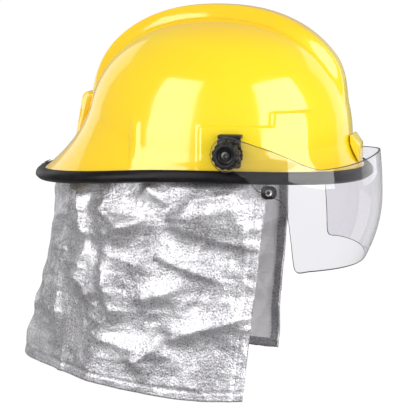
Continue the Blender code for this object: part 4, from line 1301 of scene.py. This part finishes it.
def impact_liner():
    """Bead foam with eight cooling channels and a ring channel in its inner face."""
    ribs = 288
    theta = (2 * math.pi * np.arange(ribs) / ribs)[None, :]
    outer_rows = np.linspace(0, 1, 40)[:, None]
    inner_rows = np.linspace(1, 0, 64)[:, None]
    outside = shrunk_dome(theta, outer_rows + 0 * theta, LINER_INSET + 0 * theta)
    across = np.abs((theta * 4 / math.pi + 0.5) % 1.0 - 0.5) * math.pi / 4 * 88 * MM
    spokes = np.exp(-(across / (5.5 * MM)) ** 4) * box_weight(inner_rows, 0.22, 0.90, 0.08)
    ring = np.exp(-((inner_rows - 0.56) / 0.045) ** 4)
    channel = 4.5 * MM * np.maximum(spokes, ring + 0 * theta)
    rim = 3 * MM * ease((inner_rows - 0.96) / 0.04)
    inside = shrunk_dome(theta, inner_rows + 0 * theta, LINER_INSET + LINER_THICK - channel - rim)
    grid = np.concatenate([outside, inside])
    made = mesh_object("liner_bead_foam", grid.reshape(-1, 3),
                       grid_faces(len(grid), ribs, wrap_columns=True), "foam", sharp=60)
    return settle(made, "helmet", "foam", "impact_liner")


def cushion(name, node, axis, look, seam):
    """A soft block, thinnest along axis, with two seams pressed across its longest way."""
    low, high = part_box(node)
    middle, half = (low + high) / 2, (high - low) / 2
    square, edge = 0.30, 0.42
    others = [k for k in range(3) if k != axis]
    long_way = max(others, key=lambda k: half[k])
    rows, columns = 40, 120
    rise = np.linspace(-math.pi / 2, math.pi / 2, rows)[:, None]
    turn = (2 * math.pi * np.arange(columns) / columns)[None, :]
    points = np.zeros((rows, columns, 3))
    reach = spow(np.cos(rise), edge)
    points[..., others[0]] = half[others[0]] * reach * spow(np.cos(turn), square)
    points[..., others[1]] = half[others[1]] * reach * spow(np.sin(turn), square)
    points[..., axis] = half[axis] * spow(np.sin(rise), edge)
    for place in (-seam, seam):
        press = np.exp(-((points[..., long_way] - place) / (1.6 * MM)) ** 2)
        points[..., axis] *= 1 - 0.32 * press
    points += np.array(middle)
    made = mesh_object(name, points.reshape(-1, 3), grid_faces(rows, columns, True), look)
    settle(made, "helmet", look, node)


def crown_pad():
    """The round foam puck in the liner's crown, dished below with a soft rim."""
    profile = mm([(0.3, 100.9), (12, 100.7), (24, 100.1), (30, 100), (32.6, 100.5), (33.8, 101.6),
                  (34, 103), (33.8, 104.4), (32.6, 105.5), (30, 106), (14, 105.9), (0.3, 105.8)])
    made = turned("crown_puck", profile, (0, 0, 0), (0, 0, 1), "foam", sides=96, sharp=70)
    return settle(made, "helmet", "foam", "crown_pad")


# ---------------------------------------------------------------- headband and crown straps

BAND_FRONT, BAND_SIDE = 94 * MM, 76 * MM
BAND_MIDDLE_Z, BAND_HALF_TALL = 22 * MM, 14 * MM


def band_route(start, end, steps, stand_off=0.0):
    theta = np.radians(np.linspace(start, end, steps + 1))
    x, y = oval(theta, BAND_FRONT + stand_off, BAND_FRONT + stand_off, BAND_SIDE + stand_off)
    return np.stack([x, y, np.full_like(x, BAND_MIDDLE_Z)], axis=-1)


def headband():
    """The nylon band with a rail along both edges and a row of raised adjusting pips."""
    rail = [(-14, -0.7), (-13.8, -0.8), (13.8, -0.8), (14, -0.7), (14, 0.6), (13.7, 0.8),
            (11.8, 0.8), (11.3, 0.35), (-11.3, 0.35), (-11.8, 0.8), (-13.7, 0.8), (-14, 0.6)]
    route = band_route(-140, 140, 200)
    parts = [sweep("hoop", route, (0, 0, 1), mm(rail), "nylon", sharp=40)]
    out = level_side(route)
    pip = mm([(0.1, 0.2), (1.5, 0.2), (1.4, 0.7), (0.9, 0.9), (0.1, 0.95)])
    for i in range(6, len(route) - 6, 8):
        parts.append(turned("pip", pip, route[i], out[i], "nylon", sides=12))
    made = join("headband_moulded", parts)
    return settle(made, "helmet", "nylon", "headband")


def band_links():
    """The headband's narrowed ends, eased from the band's height to the toothed tails'."""
    for side, sign in SIDES:
        low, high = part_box("band_tail_" + side)
        tail_z, tail_half = (low.z + high.z) / 2, (high.z - low.z) / 2 - 0.2 * MM
        start = np.array([-71.0 * MM, sign * 49.6 * MM])
        end = np.array([-83.6 * MM, sign * 44.4 * MM])
        ahead = unit((end - start)[None, :])[0]
        beside = np.array([ahead[1], -ahead[0]])
        sections = []
        for part in np.linspace(0, 1, 25):
            share = float(ease(np.array(part)))
            at = start + (end - start) * part
            middle = BAND_MIDDLE_Z + (tail_z - BAND_MIDDLE_Z) * share
            tall = BAND_HALF_TALL * 0.8 + (tail_half - BAND_HALF_TALL * 0.8) * share
            sections.append([(at[0] + beside[0] * t, at[1] + beside[1] * t, middle + w)
                             for w, t in rounded_section(tall, 0.7 * MM, 0.5 * MM, 3)])
        made = loft("headband_end_" + side, sections, "nylon")
        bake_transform(made)


def brow_sweatband():
    """Perforated leather over foam, quilted at intervals and stitched along both edges."""
    route = band_route(-75, 75, 220, -3 * MM)
    out = level_side(route)
    walked = distances(route)
    outline = rounded_section(15 * MM, 1.5 * MM, 1.3 * MM, 5)
    sections = []
    for p, o, along in zip(route, out, walked):
        press = math.exp(-(((along / MM + 15) % 30 - 15) / 1.6) ** 2)
        sections.append([p + o * (t * (1 - 0.35 * press) if t < 0 else t) + np.array([0, 0, w])
                         for w, t in outline])
    made = loft("sweatband_leather", sections, "leather")
    settle(made, "helmet", "leather", "brow_sweatband")
    for name, rise in (("upper", 12.6 * MM), ("lower", -12.6 * MM)):
        line = route - out * 1.45 * MM + np.array([0, 0, rise])
        stitches("sweatband_stitch_" + name, line[2:-2], -out[2:-2], 2.4 * MM, 1.0 * MM,
                 0.28 * MM, "helmet")


def strap_stitches(prefix, route, across, spacing, stand_off):
    """Three rows of thread along a strap's outer face."""
    across = np.array(across, float)
    ahead = unit(np.gradient(route, axis=0))
    up = unit(np.cross(ahead, np.tile(across, (len(route), 1))))
    if np.sum(up * route) < 0:
        up = -up
    for i in range(3):
        line = route + across * (i - 1) * spacing + up * stand_off
        stitches(prefix + "_" + str(i), line, up, 2.2 * MM, 0.9 * MM, 0.26 * MM, "helmet")


def crown_straps():
    """Two webbing straps over the head, stitched back on themselves at their ends."""
    for name, reach, peak, axis in (("crown_strap_fore_aft", 91 * MM, 98.5 * MM, 0),
                                    ("crown_strap_cross", 73 * MM, 95.5 * MM, 1)):
        turn = np.linspace(0, math.pi, 121)
        route = np.zeros((121, 3))
        route[:, axis] = reach * np.cos(turn)
        route[:, 2] = 39 * MM + (peak - 39 * MM) * np.sin(turn)
        across = (0, 1, 0) if axis == 0 else (1, 0, 0)
        made = sweep(name + "_woven", route, across, rounded_section(9 * MM, 0.7 * MM, 0.6 * MM, 2),
                     "webbing")
        settle(made, "helmet", "webbing", name)
        for end, part in (("first", route[3:22]), ("last", route[-22:-3])):
            strap_stitches(name + "_stitch_" + end, part, across, 6.5 * MM, 0.7 * MM)


def suspension_clips():
    """Moulded clips with a strap bar, two ribs and a snap button."""
    for name, axis, sign in (("front", 0, 1), ("rear", 0, -1), ("left", 1, 1), ("right", 1, -1)):
        node = "suspension_clip_" + name
        low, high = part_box(node)
        parts = [rounded_block("plate", low, high, 0.7 * MM, "nylon")]
        wide = 1 - axis
        inner = low.copy() if sign > 0 else high.copy()
        for share in (0.12, 0.88):
            rib_low, rib_high = low.copy(), high.copy()
            place = low[wide] + (high[wide] - low[wide]) * share
            rib_low[wide], rib_high[wide] = place - 0.7 * MM, place + 0.7 * MM
            rib_low.z, rib_high.z = low.z + 1.5 * MM, high.z - 1.5 * MM
            rib_low[axis], rib_high[axis] = low[axis] - 0.3 * MM, high[axis] + 0.3 * MM
            parts.append(rounded_block("rib", rib_low, rib_high, 0.3 * MM, "nylon", 2))
        centre = (low + high) / 2
        centre[axis] = inner[axis]
        out = [0, 0, 0]
        out[axis] = -sign
        button = mm([(0.1, -0.2), (3.2, -0.2), (3.2, 0.25), (2.6, 0.6), (0.1, 0.7)])
        parts.append(turned("button", button, centre, out, "nylon", sides=32))
        made = join(node + "_moulded", parts)
        settle(made, "helmet", "nylon", node)


# ---------------------------------------------------------------- size adjuster

RATCHET_X, RATCHET_Z = -94 * MM, 6 * MM
PINION_R, SHAFT_R, TOOTH_DEEP, TEETH = 4.2 * MM, 2.6 * MM, 1.1 * MM, 10


def ratchet_cover():
    """The channel-shaped cover, open at both ends for the tails, with grip ribs on it."""
    low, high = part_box("ratchet_cover")
    half_z = (high.z - low.z) / 2
    corner = 4 * MM
    turns = np.radians(np.linspace(90, 180, 9))
    upper = [(low.x + corner + corner * math.cos(t), half_z - corner + corner * math.sin(t))
             for t in turns]
    lower = [(x, -z) for x, z in upper[::-1]]
    outline = ([(high.x, half_z)] + upper + lower + [(high.x, -half_z)]
               + [(high.x, -half_z + 2 * MM), (low.x + 3 * MM, -half_z + 2 * MM),
                  (low.x + 3 * MM, half_z - 2 * MM), (high.x, half_z - 2 * MM)])
    sections = []
    for y, shrink in ((low.y, 0.5), (low.y + 0.5 * MM, 0.0), (high.y - 0.5 * MM, 0.0),
                      (high.y, 0.5)):
        sections.append([(x + shrink * MM * (x < low.x + corner), y,
                          RATCHET_Z + z * (1 - shrink * MM / half_z * (abs(z) > half_z - corner)))
                         for x, z in outline])
    cover = loft("cover", sections, "nylon", sharp=40)
    carve(cover, turned("bore", [(3.6 * MM, low.x - 5 * MM), (3.6 * MM, low.x + 8 * MM)],
                        (0, 0, RATCHET_Z), (1, 0, 0), "nylon", sides=48))
    cover.data.shade_smooth()
    cover.data.set_sharp_from_angle(angle=math.radians(40))
    parts = [cover]
    for sign in (-1, 1):
        for k in range(-4, 5):
            y, z = k * 4.5 * MM, RATCHET_Z + sign * half_z
            parts.append(rounded_block("rib", (low.x + 5 * MM, y - 0.6 * MM, z - 0.5 * MM),
                                       (high.x - 3 * MM, y + 0.6 * MM, z + 0.5 * MM), 0.35 * MM,
                                       "nylon", 2))
    made = join("ratchet_cover_moulded", parts)
    settle(made, "helmet", "nylon", "ratchet_cover")


def band_tail(side, sign):
    """One toothed end of the headband: the rack faces the pinion."""
    low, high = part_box("band_tail_" + side)
    flat_x = RATCHET_X + 0.5 * MM
    corners = [(flat_x, -14), (flat_x, 8), (flat_x, 27), (flat_x + 1.4 * MM, 33.5),
               (flat_x + 5 * MM, 40), (flat_x + 9 * MM, 45)]
    route = catmull([(x, sign * y * MM) for x, y in corners], 36)
    ahead = unit(np.gradient(route, axis=0))
    beside = np.stack([ahead[:, 1], -ahead[:, 0]], axis=-1) * 0.8 * MM
    pitch = 2 * math.pi * PINION_R / TEETH
    sections = []
    for (x, y), (bx, by) in zip(route, beside):
        wave = 0.5 + 0.5 * math.cos(2 * math.pi * y / pitch)
        cut_in = TOOTH_DEEP * (1 - wave) * float(box_weight(sign * y, -13 * MM, 26 * MM, 1 * MM))
        bottom = low.z + (cut_in if sign < 0 else 0.0)
        top = high.z - (cut_in if sign > 0 else 0.0)
        soft = 0.25 * MM
        sections.append([(x + bx, y + by, bottom + soft), (x + bx * 0.6, y + by * 0.6, bottom),
                         (x - bx * 0.6, y - by * 0.6, bottom), (x - bx, y - by, bottom + soft),
                         (x - bx, y - by, top - soft), (x - bx * 0.6, y - by * 0.6, top),
                         (x + bx * 0.6, y + by * 0.6, top), (x + bx, y + by, top - soft)])
    made = loft("band_tail_" + side + "_rack", sections, "nylon", sharp=40)
    settle(made, "tail_" + side, "nylon", "band_tail_" + side)


def size_adjuster():
    low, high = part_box("ratchet_base")
    parts = [rounded_block("plate", low, high, 0.6 * MM, "nylon")]
    for sign in (-1, 1):
        parts.append(rounded_block("guide", (low.x + 0.2 * MM, sign * 16 * MM - 1 * MM,
                                             low.z + 3 * MM),
                                   (high.x + 0.5 * MM, sign * 16 * MM + 1 * MM, high.z - 3 * MM),
                                   0.4 * MM, "nylon", 2))
    settle(join("ratchet_base_moulded", parts), "helmet", "nylon", "ratchet_base")
    ratchet_cover()
    low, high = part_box("ratchet_pinion")
    gear_x = RATCHET_X - 5 * MM

    def tooth(reach, along, turn, _):
        cut_in = TOOTH_DEEP * (0.5 - 0.5 * math.cos(TEETH * turn))
        return reach - (cut_in if reach > SHAFT_R + 0.4 * MM else 0)

    pinion = turned("ratchet_pinion_toothed",
                    [(0.3 * MM, low.x), (SHAFT_R - 0.3 * MM, low.x), (SHAFT_R, low.x + 0.3 * MM),
                     (SHAFT_R, gear_x), (PINION_R - 0.4 * MM, gear_x),
                     (PINION_R, gear_x + 0.4 * MM), (PINION_R, high.x - 0.4 * MM),
                     (3.6 * MM, high.x), (0.3 * MM, high.x)],
                    (0, 0, RATCHET_Z), (1, 0, 0), "nylon", sides=160, wobble=tooth)
    settle(pinion, "size_knob", "nylon", "ratchet_pinion")
    hand_knob("ratchet_knob_scalloped", (RATCHET_X - 16.8 * MM, 0, RATCHET_Z), (-1, 0, 0),
              radius=13 * MM, tall=10 * MM, lobes=10, depth=0.9 * MM, recess=None,
              body="size_knob", node="ratchet_knob")
    for side, sign in SIDES:
        band_tail(side, sign)
    cushion("nape_cushion", "nape_pad", 0, "foam", 12 * MM)


# ---------------------------------------------------------------- cape fittings

def cape_rail(theta, stand_off, z):
    """Points at an inset from the cape's top edge."""
    at = cape_base(theta, 0.0 * theta)
    flat = np.hypot(at[..., 0], at[..., 1])
    grow = (flat + stand_off) / flat
    return np.stack([at[..., 0] * grow, at[..., 1] * grow, z + 0 * flat], axis=-1)


def cape_fixing_band():
    """Webbing inside the cape's top edge, sewn along both borders."""
    theta = np.radians(np.linspace(-68, -292, 241))
    route = cape_rail(theta, -3.8 * MM, -2 * MM)
    made = sweep("fixing_band_woven", route, (0, 0, 1),
                 rounded_section(7 * MM, 0.8 * MM, 0.6 * MM, 2), "webbing")
    settle(made, "helmet", "webbing", "cape_fixing_band")
    inward = -level_side(route)
    if np.sum(inward * route) > 0:
        inward = -inward
    for name, z in (("upper", 3.4 * MM), ("lower", -7.4 * MM)):
        line = route.copy()
        line[:, 2] = z
        stitches("fixing_band_stitch_" + name, (line + inward * 0.8 * MM)[2:-2], inward[2:-2],
                 2.6 * MM, 1.1 * MM, 0.28 * MM, "helmet")


def cape_studs():
    """Press studs: a rolled flange, a groove and a domed cap facing inwards."""
    profile = mm([(0.2, -0.8), (4.5, -0.8), (4.9, -0.6), (5, -0.3), (4.9, 0.05), (4.3, 0.25),
                  (3.7, 0.1), (3.3, 0.15), (3.0, 0.5), (2.2, 0.75), (0.2, 0.8)])
    for name, degrees in (("right_front", -75), ("right_rear", -128), ("rear", 180),
                          ("left_rear", 128), ("left_front", 75)):
        angles = np.radians(np.array([degrees - 1.0, degrees, degrees + 1.0]))
        before, at, after = cape_rail(angles, -7.2 * MM, -2 * MM)
        ahead = after - before
        out = (-ahead[1], ahead[0], 0.0)
        made = turned("cape_stud_" + name + "_cap", profile, at, out, "steel", sides=48)
        settle(made, "helmet", "steel", "cape_stud_" + name)


def cape_tabs():
    """Rounded black end tabs, each with a small bright eyelet."""
    for side in ("right", "left"):
        low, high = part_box("cape_tab_" + side)
        middle = (low + high) / 2
        half_x, half_z = (high.x - low.x) / 2, (high.z - low.z) / 2
        outline = np.array(rounded_section(half_x, half_z, 5 * MM, 8))
        sections = []
        for y, grow in ((low.y, 0.90), (low.y + 0.25 * MM, 0.97), (low.y + 0.7 * MM, 1.0),
                        (high.y - 0.7 * MM, 1.0), (high.y - 0.25 * MM, 0.97), (high.y, 0.90)):
            sections.append([(middle.x + x * grow, y, middle.z + z * grow) for x, z in outline])
        made = loft("cape_tab_" + side + "_moulded", sections, "nylon")
        settle(made, "helmet", "nylon", "cape_tab_" + side)
        reach = (high.y - low.y) / 2
        ring = turned("cape_tab_" + side + "_eyelet",
                      [(1.7 * MM, -reach - 0.35 * MM), (2.6 * MM, -reach - 0.5 * MM),
                       (3.1 * MM, -reach - 0.1 * MM), (3.1 * MM, reach + 0.1 * MM),
                       (2.6 * MM, reach + 0.5 * MM), (1.7 * MM, reach + 0.35 * MM),
                       (1.2 * MM, 0.0)], middle, (0, 1, 0), "steel", sides=32, ring=True)
        settle(ring, "helmet", "steel")


# ---------------------------------------------------------------- chin strap and buckle

STRAP_X, BUCKLE_Z = 6 * MM, -122 * MM


def strap_anchor(side):
    """A stamped loop: a plate above and a round bar below that the strap turns round."""
    low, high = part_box("strap_anchor_" + side)
    inner, outer = low.y + 0.8 * MM, high.y - 0.8 * MM
    bar_z = low.z + 2 * MM
    parts = [rounded_block("plate", (low.x, low.y, high.z - 6 * MM), high, 0.8 * MM, "steel")]
    for x in (low.x, high.x - 2.6 * MM):
        parts.append(rounded_block("leg", (x, inner, low.z), (x + 2.6 * MM, outer, high.z - 5 * MM),
                                   0.7 * MM, "steel"))
    parts.append(turned("bar", [(0.2 * MM, low.x + 1 * MM), (1.5 * MM, low.x + 1 * MM),
                                (1.5 * MM, high.x - 1 * MM), (0.2 * MM, high.x - 1 * MM)],
                        (0, (low.y + high.y) / 2, bar_z), (1, 0, 0), "steel", sides=32))
    settle(join("strap_anchor_" + side + "_stamped", parts), "helmet", "steel",
           "strap_anchor_" + side)


def chin_strap(side, sign, end_y):
    """Webbing turned round its anchor bar, run under the chin and into the buckle."""
    places = [(91.9, -28.7), (94.1, -13.7), (94.4, -4), (94.3, 1.2), (95.6, 4.0), (98.4, 4.0),
              (99.6, 1.0), (98.4, -5), (96.2, -14), (93, -35), (84, -62), (69, -90), (52, -109),
              (42, -118), (end_y + 6, -121.4), (end_y, -122)]
    route = np.array([(STRAP_X, sign * y * MM, z * MM) for y, z in places])
    smooth = catmull(route, 12)
    name = "chin_strap_" + side
    section = rounded_section(10 * MM, 0.85 * MM, 0.7 * MM, 2)
    made = sweep(name + "_woven", smooth, (1, 0, 0), section, "webbing")
    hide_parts(name)
    if side == "right":
        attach(made, "helmet")
    turned_back = smooth[98:124]
    strap_stitches(name + "_stitch", turned_back, (1, 0, 0), 7.5 * MM, 0.9 * MM)
    if side == "left":
        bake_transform(made)


def buckle_socket():
    """The female half: a hollow body, waisted at the strap end, with finger ridges."""
    low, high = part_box("buckle_socket")
    half_z = (high.z - low.z) / 2
    rows = [(low.y, 10.5, 0.72), (low.y + 0.8 * MM, 11.2, 0.9), (low.y + 4 * MM, 11.6, 1.0),
            (low.y + 12 * MM, 13, 1.0), (high.y - 1.5 * MM, 13, 1.0),
            (high.y - 0.4 * MM, 12.8, 0.96), (high.y, 12.4, 0.88)]
    sections = []
    for y, half, grow in rows:
        sections.append([(STRAP_X + x, y, BUCKLE_Z + z)
                         for x, z in rounded_section(half * MM, half_z * grow, 2.4 * MM, 5)])
    for y in (high.y, high.y - 4 * MM, -18 * MM):
        sections.append([(STRAP_X + x, y, BUCKLE_Z + z)
                         for x, z in rounded_section(10 * MM, 2.6 * MM, 0.8 * MM, 5)])
    parts = [loft("body", sections, "nylon", sharp=45)]
    for k in range(4):
        y = low.y + (6 + 2.6 * k) * MM
        for sign in (-1, 1):
            z = BUCKLE_Z + sign * half_z
            parts.append(rounded_block("ridge", (STRAP_X - 8 * MM, y - 0.6 * MM, z - 0.4 * MM),
                                       (STRAP_X + 8 * MM, y + 0.6 * MM, z + 0.35 * MM), 0.3 * MM,
                                       "nylon", 2))
    settle(join("buckle_socket_moulded", parts), "helmet", "nylon", "buckle_socket")


def buckle_plug():
    """The male half: two sprung barbed prongs, a centre guide bar and a strap slot head."""
    outline = [(-13, 7), (-9, 7), (-9, -11), (-8.6, -13), (-6.6, -15.6), (-5.6, -15.6), (-4.2, -12),
               (-4, 1), (-3.4, 2.4), (-1.6, 3), (-1.5, -8), (1.5, -8), (1.6, 3), (3.4, 2.4), (4, 1),
               (4.2, -12), (5.6, -15.6), (6.6, -15.6), (8.6, -13), (9, -11), (9, 7), (13, 7),
               (13, 28.4), (11.6, 30), (-11.6, 30), (-13, 28.4)]
    count = len(outline)
    points = [(STRAP_X + x * MM, y * MM, BUCKLE_Z + z) for z in (-1.8 * MM, 1.8 * MM)
              for x, y in outline]
    faces = [tuple(range(count)), tuple(range(2 * count - 1, count - 1, -1))]
    faces += [(i, (i + 1) % count, count + (i + 1) % count, count + i) for i in range(count)]
    body = mesh_object("body", points, faces, "nylon")
    soften(body, 0.45 * MM, 2, 50)
    parts = [body]
    for y in (10, 13, 16):
        corner = (STRAP_X - 11 * MM, (y - 0.7) * MM, BUCKLE_Z - 2.2 * MM)
        far_corner = (STRAP_X + 11 * MM, (y + 0.7) * MM, BUCKLE_Z + 2.2 * MM)
        parts.append(rounded_block("ridge", corner, far_corner, 0.35 * MM, "nylon", 2))
    settle(join("buckle_plug_moulded", parts), "plug", "nylon", "buckle_plug")


def chin_harness():
    for side, sign, end_y in (("right", -1, 22.5), ("left", 1, 28.5)):
        strap_anchor(side)
        chin_strap(side, sign, end_y)
    buckle_socket()
    buckle_plug()
    cushion("chin_cushion", "chin_pad", 2, "leather", 11 * MM)


# ---------------------------------------------------------------- camera, lights and floor

# Softboxes are seen in glossy surfaces only, and fills light diffuse surfaces only:
# (name, azimuth, width, (bottom, top), distance, radiance)
SOFTBOXES = (("softbox_rear", -28, 0.95, (-0.18, 1.98), 1.75, 5.3),
             ("softbox_front", 60, 1.72, (-0.25, 1.98), 1.75, 6.3),
             ("softbox_far_front", 142, 1.1, (-0.25, 1.6), 2.0, 0.9),
             ("softbox_far_rear", 236, 1.1, (-0.25, 1.6), 2.0, 0.9))
FILLS = (("fill_near", 10, 2.6, (0.2, 2.2), 2.0, 1.05),
         ("fill_front", 84, 1.6, (-0.25, 1.4), 1.9, 0.8),
         ("fill_low", 50, 1.0, (-0.19, 0.25), 1.8, 3.8),
         ("fill_rear", -75, 1.6, (0.1, 1.6), 2.0, 1.1),
         ("fill_far", 190, 2.6, (0.2, 2.2), 2.0, 1.05))
FLOOR_REACH, FLOOR_DROP = 16.0, 0.6 * MM
CAMERA_TURN, CAMERA_RISE, CAMERA_DISTANCE = 12.0, 8.5, 1.6
CAMERA_TARGET, CAMERA_FOCAL_MM = (-10 * MM, 0.0, -44 * MM), 147.0
WHITE = (1.0, 1.0, 1.0, 1.0)


def seen_directly(tree):
    """1 for rays that reach the eye straight or through clear pieces, else 0."""
    path = tree.nodes.new("ShaderNodeLightPath")
    return math_node(tree, "MAXIMUM", path.outputs["Is Camera Ray"],
                     path.outputs["Is Transmission Ray"])


def surround():
    """White where it is looked at, softer as a light."""
    world = bpy.data.worlds.new("studio")
    bpy.context.scene.world = world
    world.use_nodes = True
    tree = world.node_tree
    soft = tree.nodes["Background"]
    dial(soft, Color=WHITE)
    bounced = tree.nodes.new("ShaderNodeLightPath").outputs["Is Diffuse Ray"]
    tree.links.new(spread(tree, bounced, 0.45, 0.78), soft.inputs["Strength"])
    white = add(tree, "ShaderNodeBackground", Color=WHITE, Strength=1.0)
    both = shared(tree, seen_directly(tree), soft.outputs["Background"],
                  white.outputs["Background"])
    tree.links.new(both, tree.nodes["World Output"].inputs["Surface"])


def lamp(name, azimuth, wide, heights, distance, radiance, glossy):
    """An upright area lamp that faces the helmet, invisible itself."""
    light = bpy.data.lights.new(name, "AREA")
    light.shape = "RECTANGLE"
    light.size, light.size_y = wide, heights[1] - heights[0]
    light.energy = radiance * math.pi * light.size * light.size_y
    made = bpy.data.objects.new(name, light)
    turn = math.radians(azimuth)
    away = Vector((math.sin(turn), -math.cos(turn), 0.0))
    made.location = away * distance + Vector((0, 0, (heights[0] + heights[1]) / 2))
    made.rotation_euler = (-away).to_track_quat("-Z", "Y").to_euler()
    made.visible_camera = False
    made.visible_diffuse = not glossy
    made.visible_glossy = glossy
    made.visible_transmission = False
    bpy.context.scene.collection.objects.link(made)


def pale_floor():
    """Floor material: near white to the eye, dimmed in reflections."""
    made, tree, shader = new_material("pale_floor")
    dial(shader, Base_Color=(0.80, 0.80, 0.80, 1.0), Roughness=0.8)
    bump(tree, shader, noise_field(tree, coordinates(tree), 12.0, 4.0), 0.0003, 0.1)
    glow = add(tree, "ShaderNodeEmission", Strength=1.05)
    pale = shared(tree, math_node(tree, "MULTIPLY", seen_directly(tree), 0.93),
                  shader.outputs["BSDF"], glow.outputs["Emission"])
    path = tree.nodes.new("ShaderNodeLightPath")
    dark = add(tree, "ShaderNodeBsdfDiffuse", Color=(0.06, 0.06, 0.06, 1.0))
    mirrored = math_node(tree, "SUBTRACT", path.outputs["Is Glossy Ray"],
                         path.outputs["Is Transmission Ray"])
    dimmed = shared(tree, math_node(tree, "MULTIPLY", mirrored, 0.6), pale, dark.outputs["BSDF"])
    tree.links.new(dimmed, tree.nodes["Material Output"].inputs["Surface"])
    return made


def studio():
    """A pale floor under a white surround, with two tall softboxes seen in the gloss."""
    bpy.context.scene.view_settings.view_transform = "Standard"
    surround()
    for row in SOFTBOXES:
        lamp(*row, glossy=True)
    for row in FILLS:
        lamp(*row, glossy=False)
    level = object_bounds()[0].z - FLOOR_DROP
    rings, spokes = 24, 64
    points = []
    for i in range(rings + 1):
        for k in range(spokes):
            turn = 2 * math.pi * k / spokes
            far = FLOOR_REACH * (i / rings) ** 1.5
            points.append((far * math.cos(turn), far * math.sin(turn), level))
    floor = mesh_object("floor", points, grid_faces(rings + 1, spokes, True), "lining")
    floor.data.materials.clear()
    floor.data.materials.append(pale_floor())
    floor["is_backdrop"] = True


def camera():
    """The photograph's view: the wearer's right side, a little from the front and above."""
    lens = bpy.data.cameras.new("camera")
    lens.lens, lens.sensor_width = CAMERA_FOCAL_MM, 36.0
    made = bpy.data.objects.new("camera", lens)
    bpy.context.scene.collection.objects.link(made)
    target = Vector(CAMERA_TARGET)
    turn, rise = math.radians(CAMERA_TURN), math.radians(CAMERA_RISE)
    away = Vector((math.sin(turn) * math.cos(rise), -math.cos(turn) * math.cos(rise),
                   math.sin(rise)))
    made.location = target + away * CAMERA_DISTANCE
    made.rotation_euler = (target - made.location).to_track_quat("-Z", "Y").to_euler()
    bpy.context.scene.camera = made


camera()
outer_shell()
edge_trim()
trim_joint_clip()
badge_block()
visor_lens()
pivot_sets()
pivot_inner_parts()
impact_liner()
crown_pad()
headband()
band_links()
brow_sweatband()
crown_straps()
suspension_clips()
size_adjuster()
cape_fixing_band()
neck_cape()
cape_studs()
cape_tabs()
chin_harness()
studio()
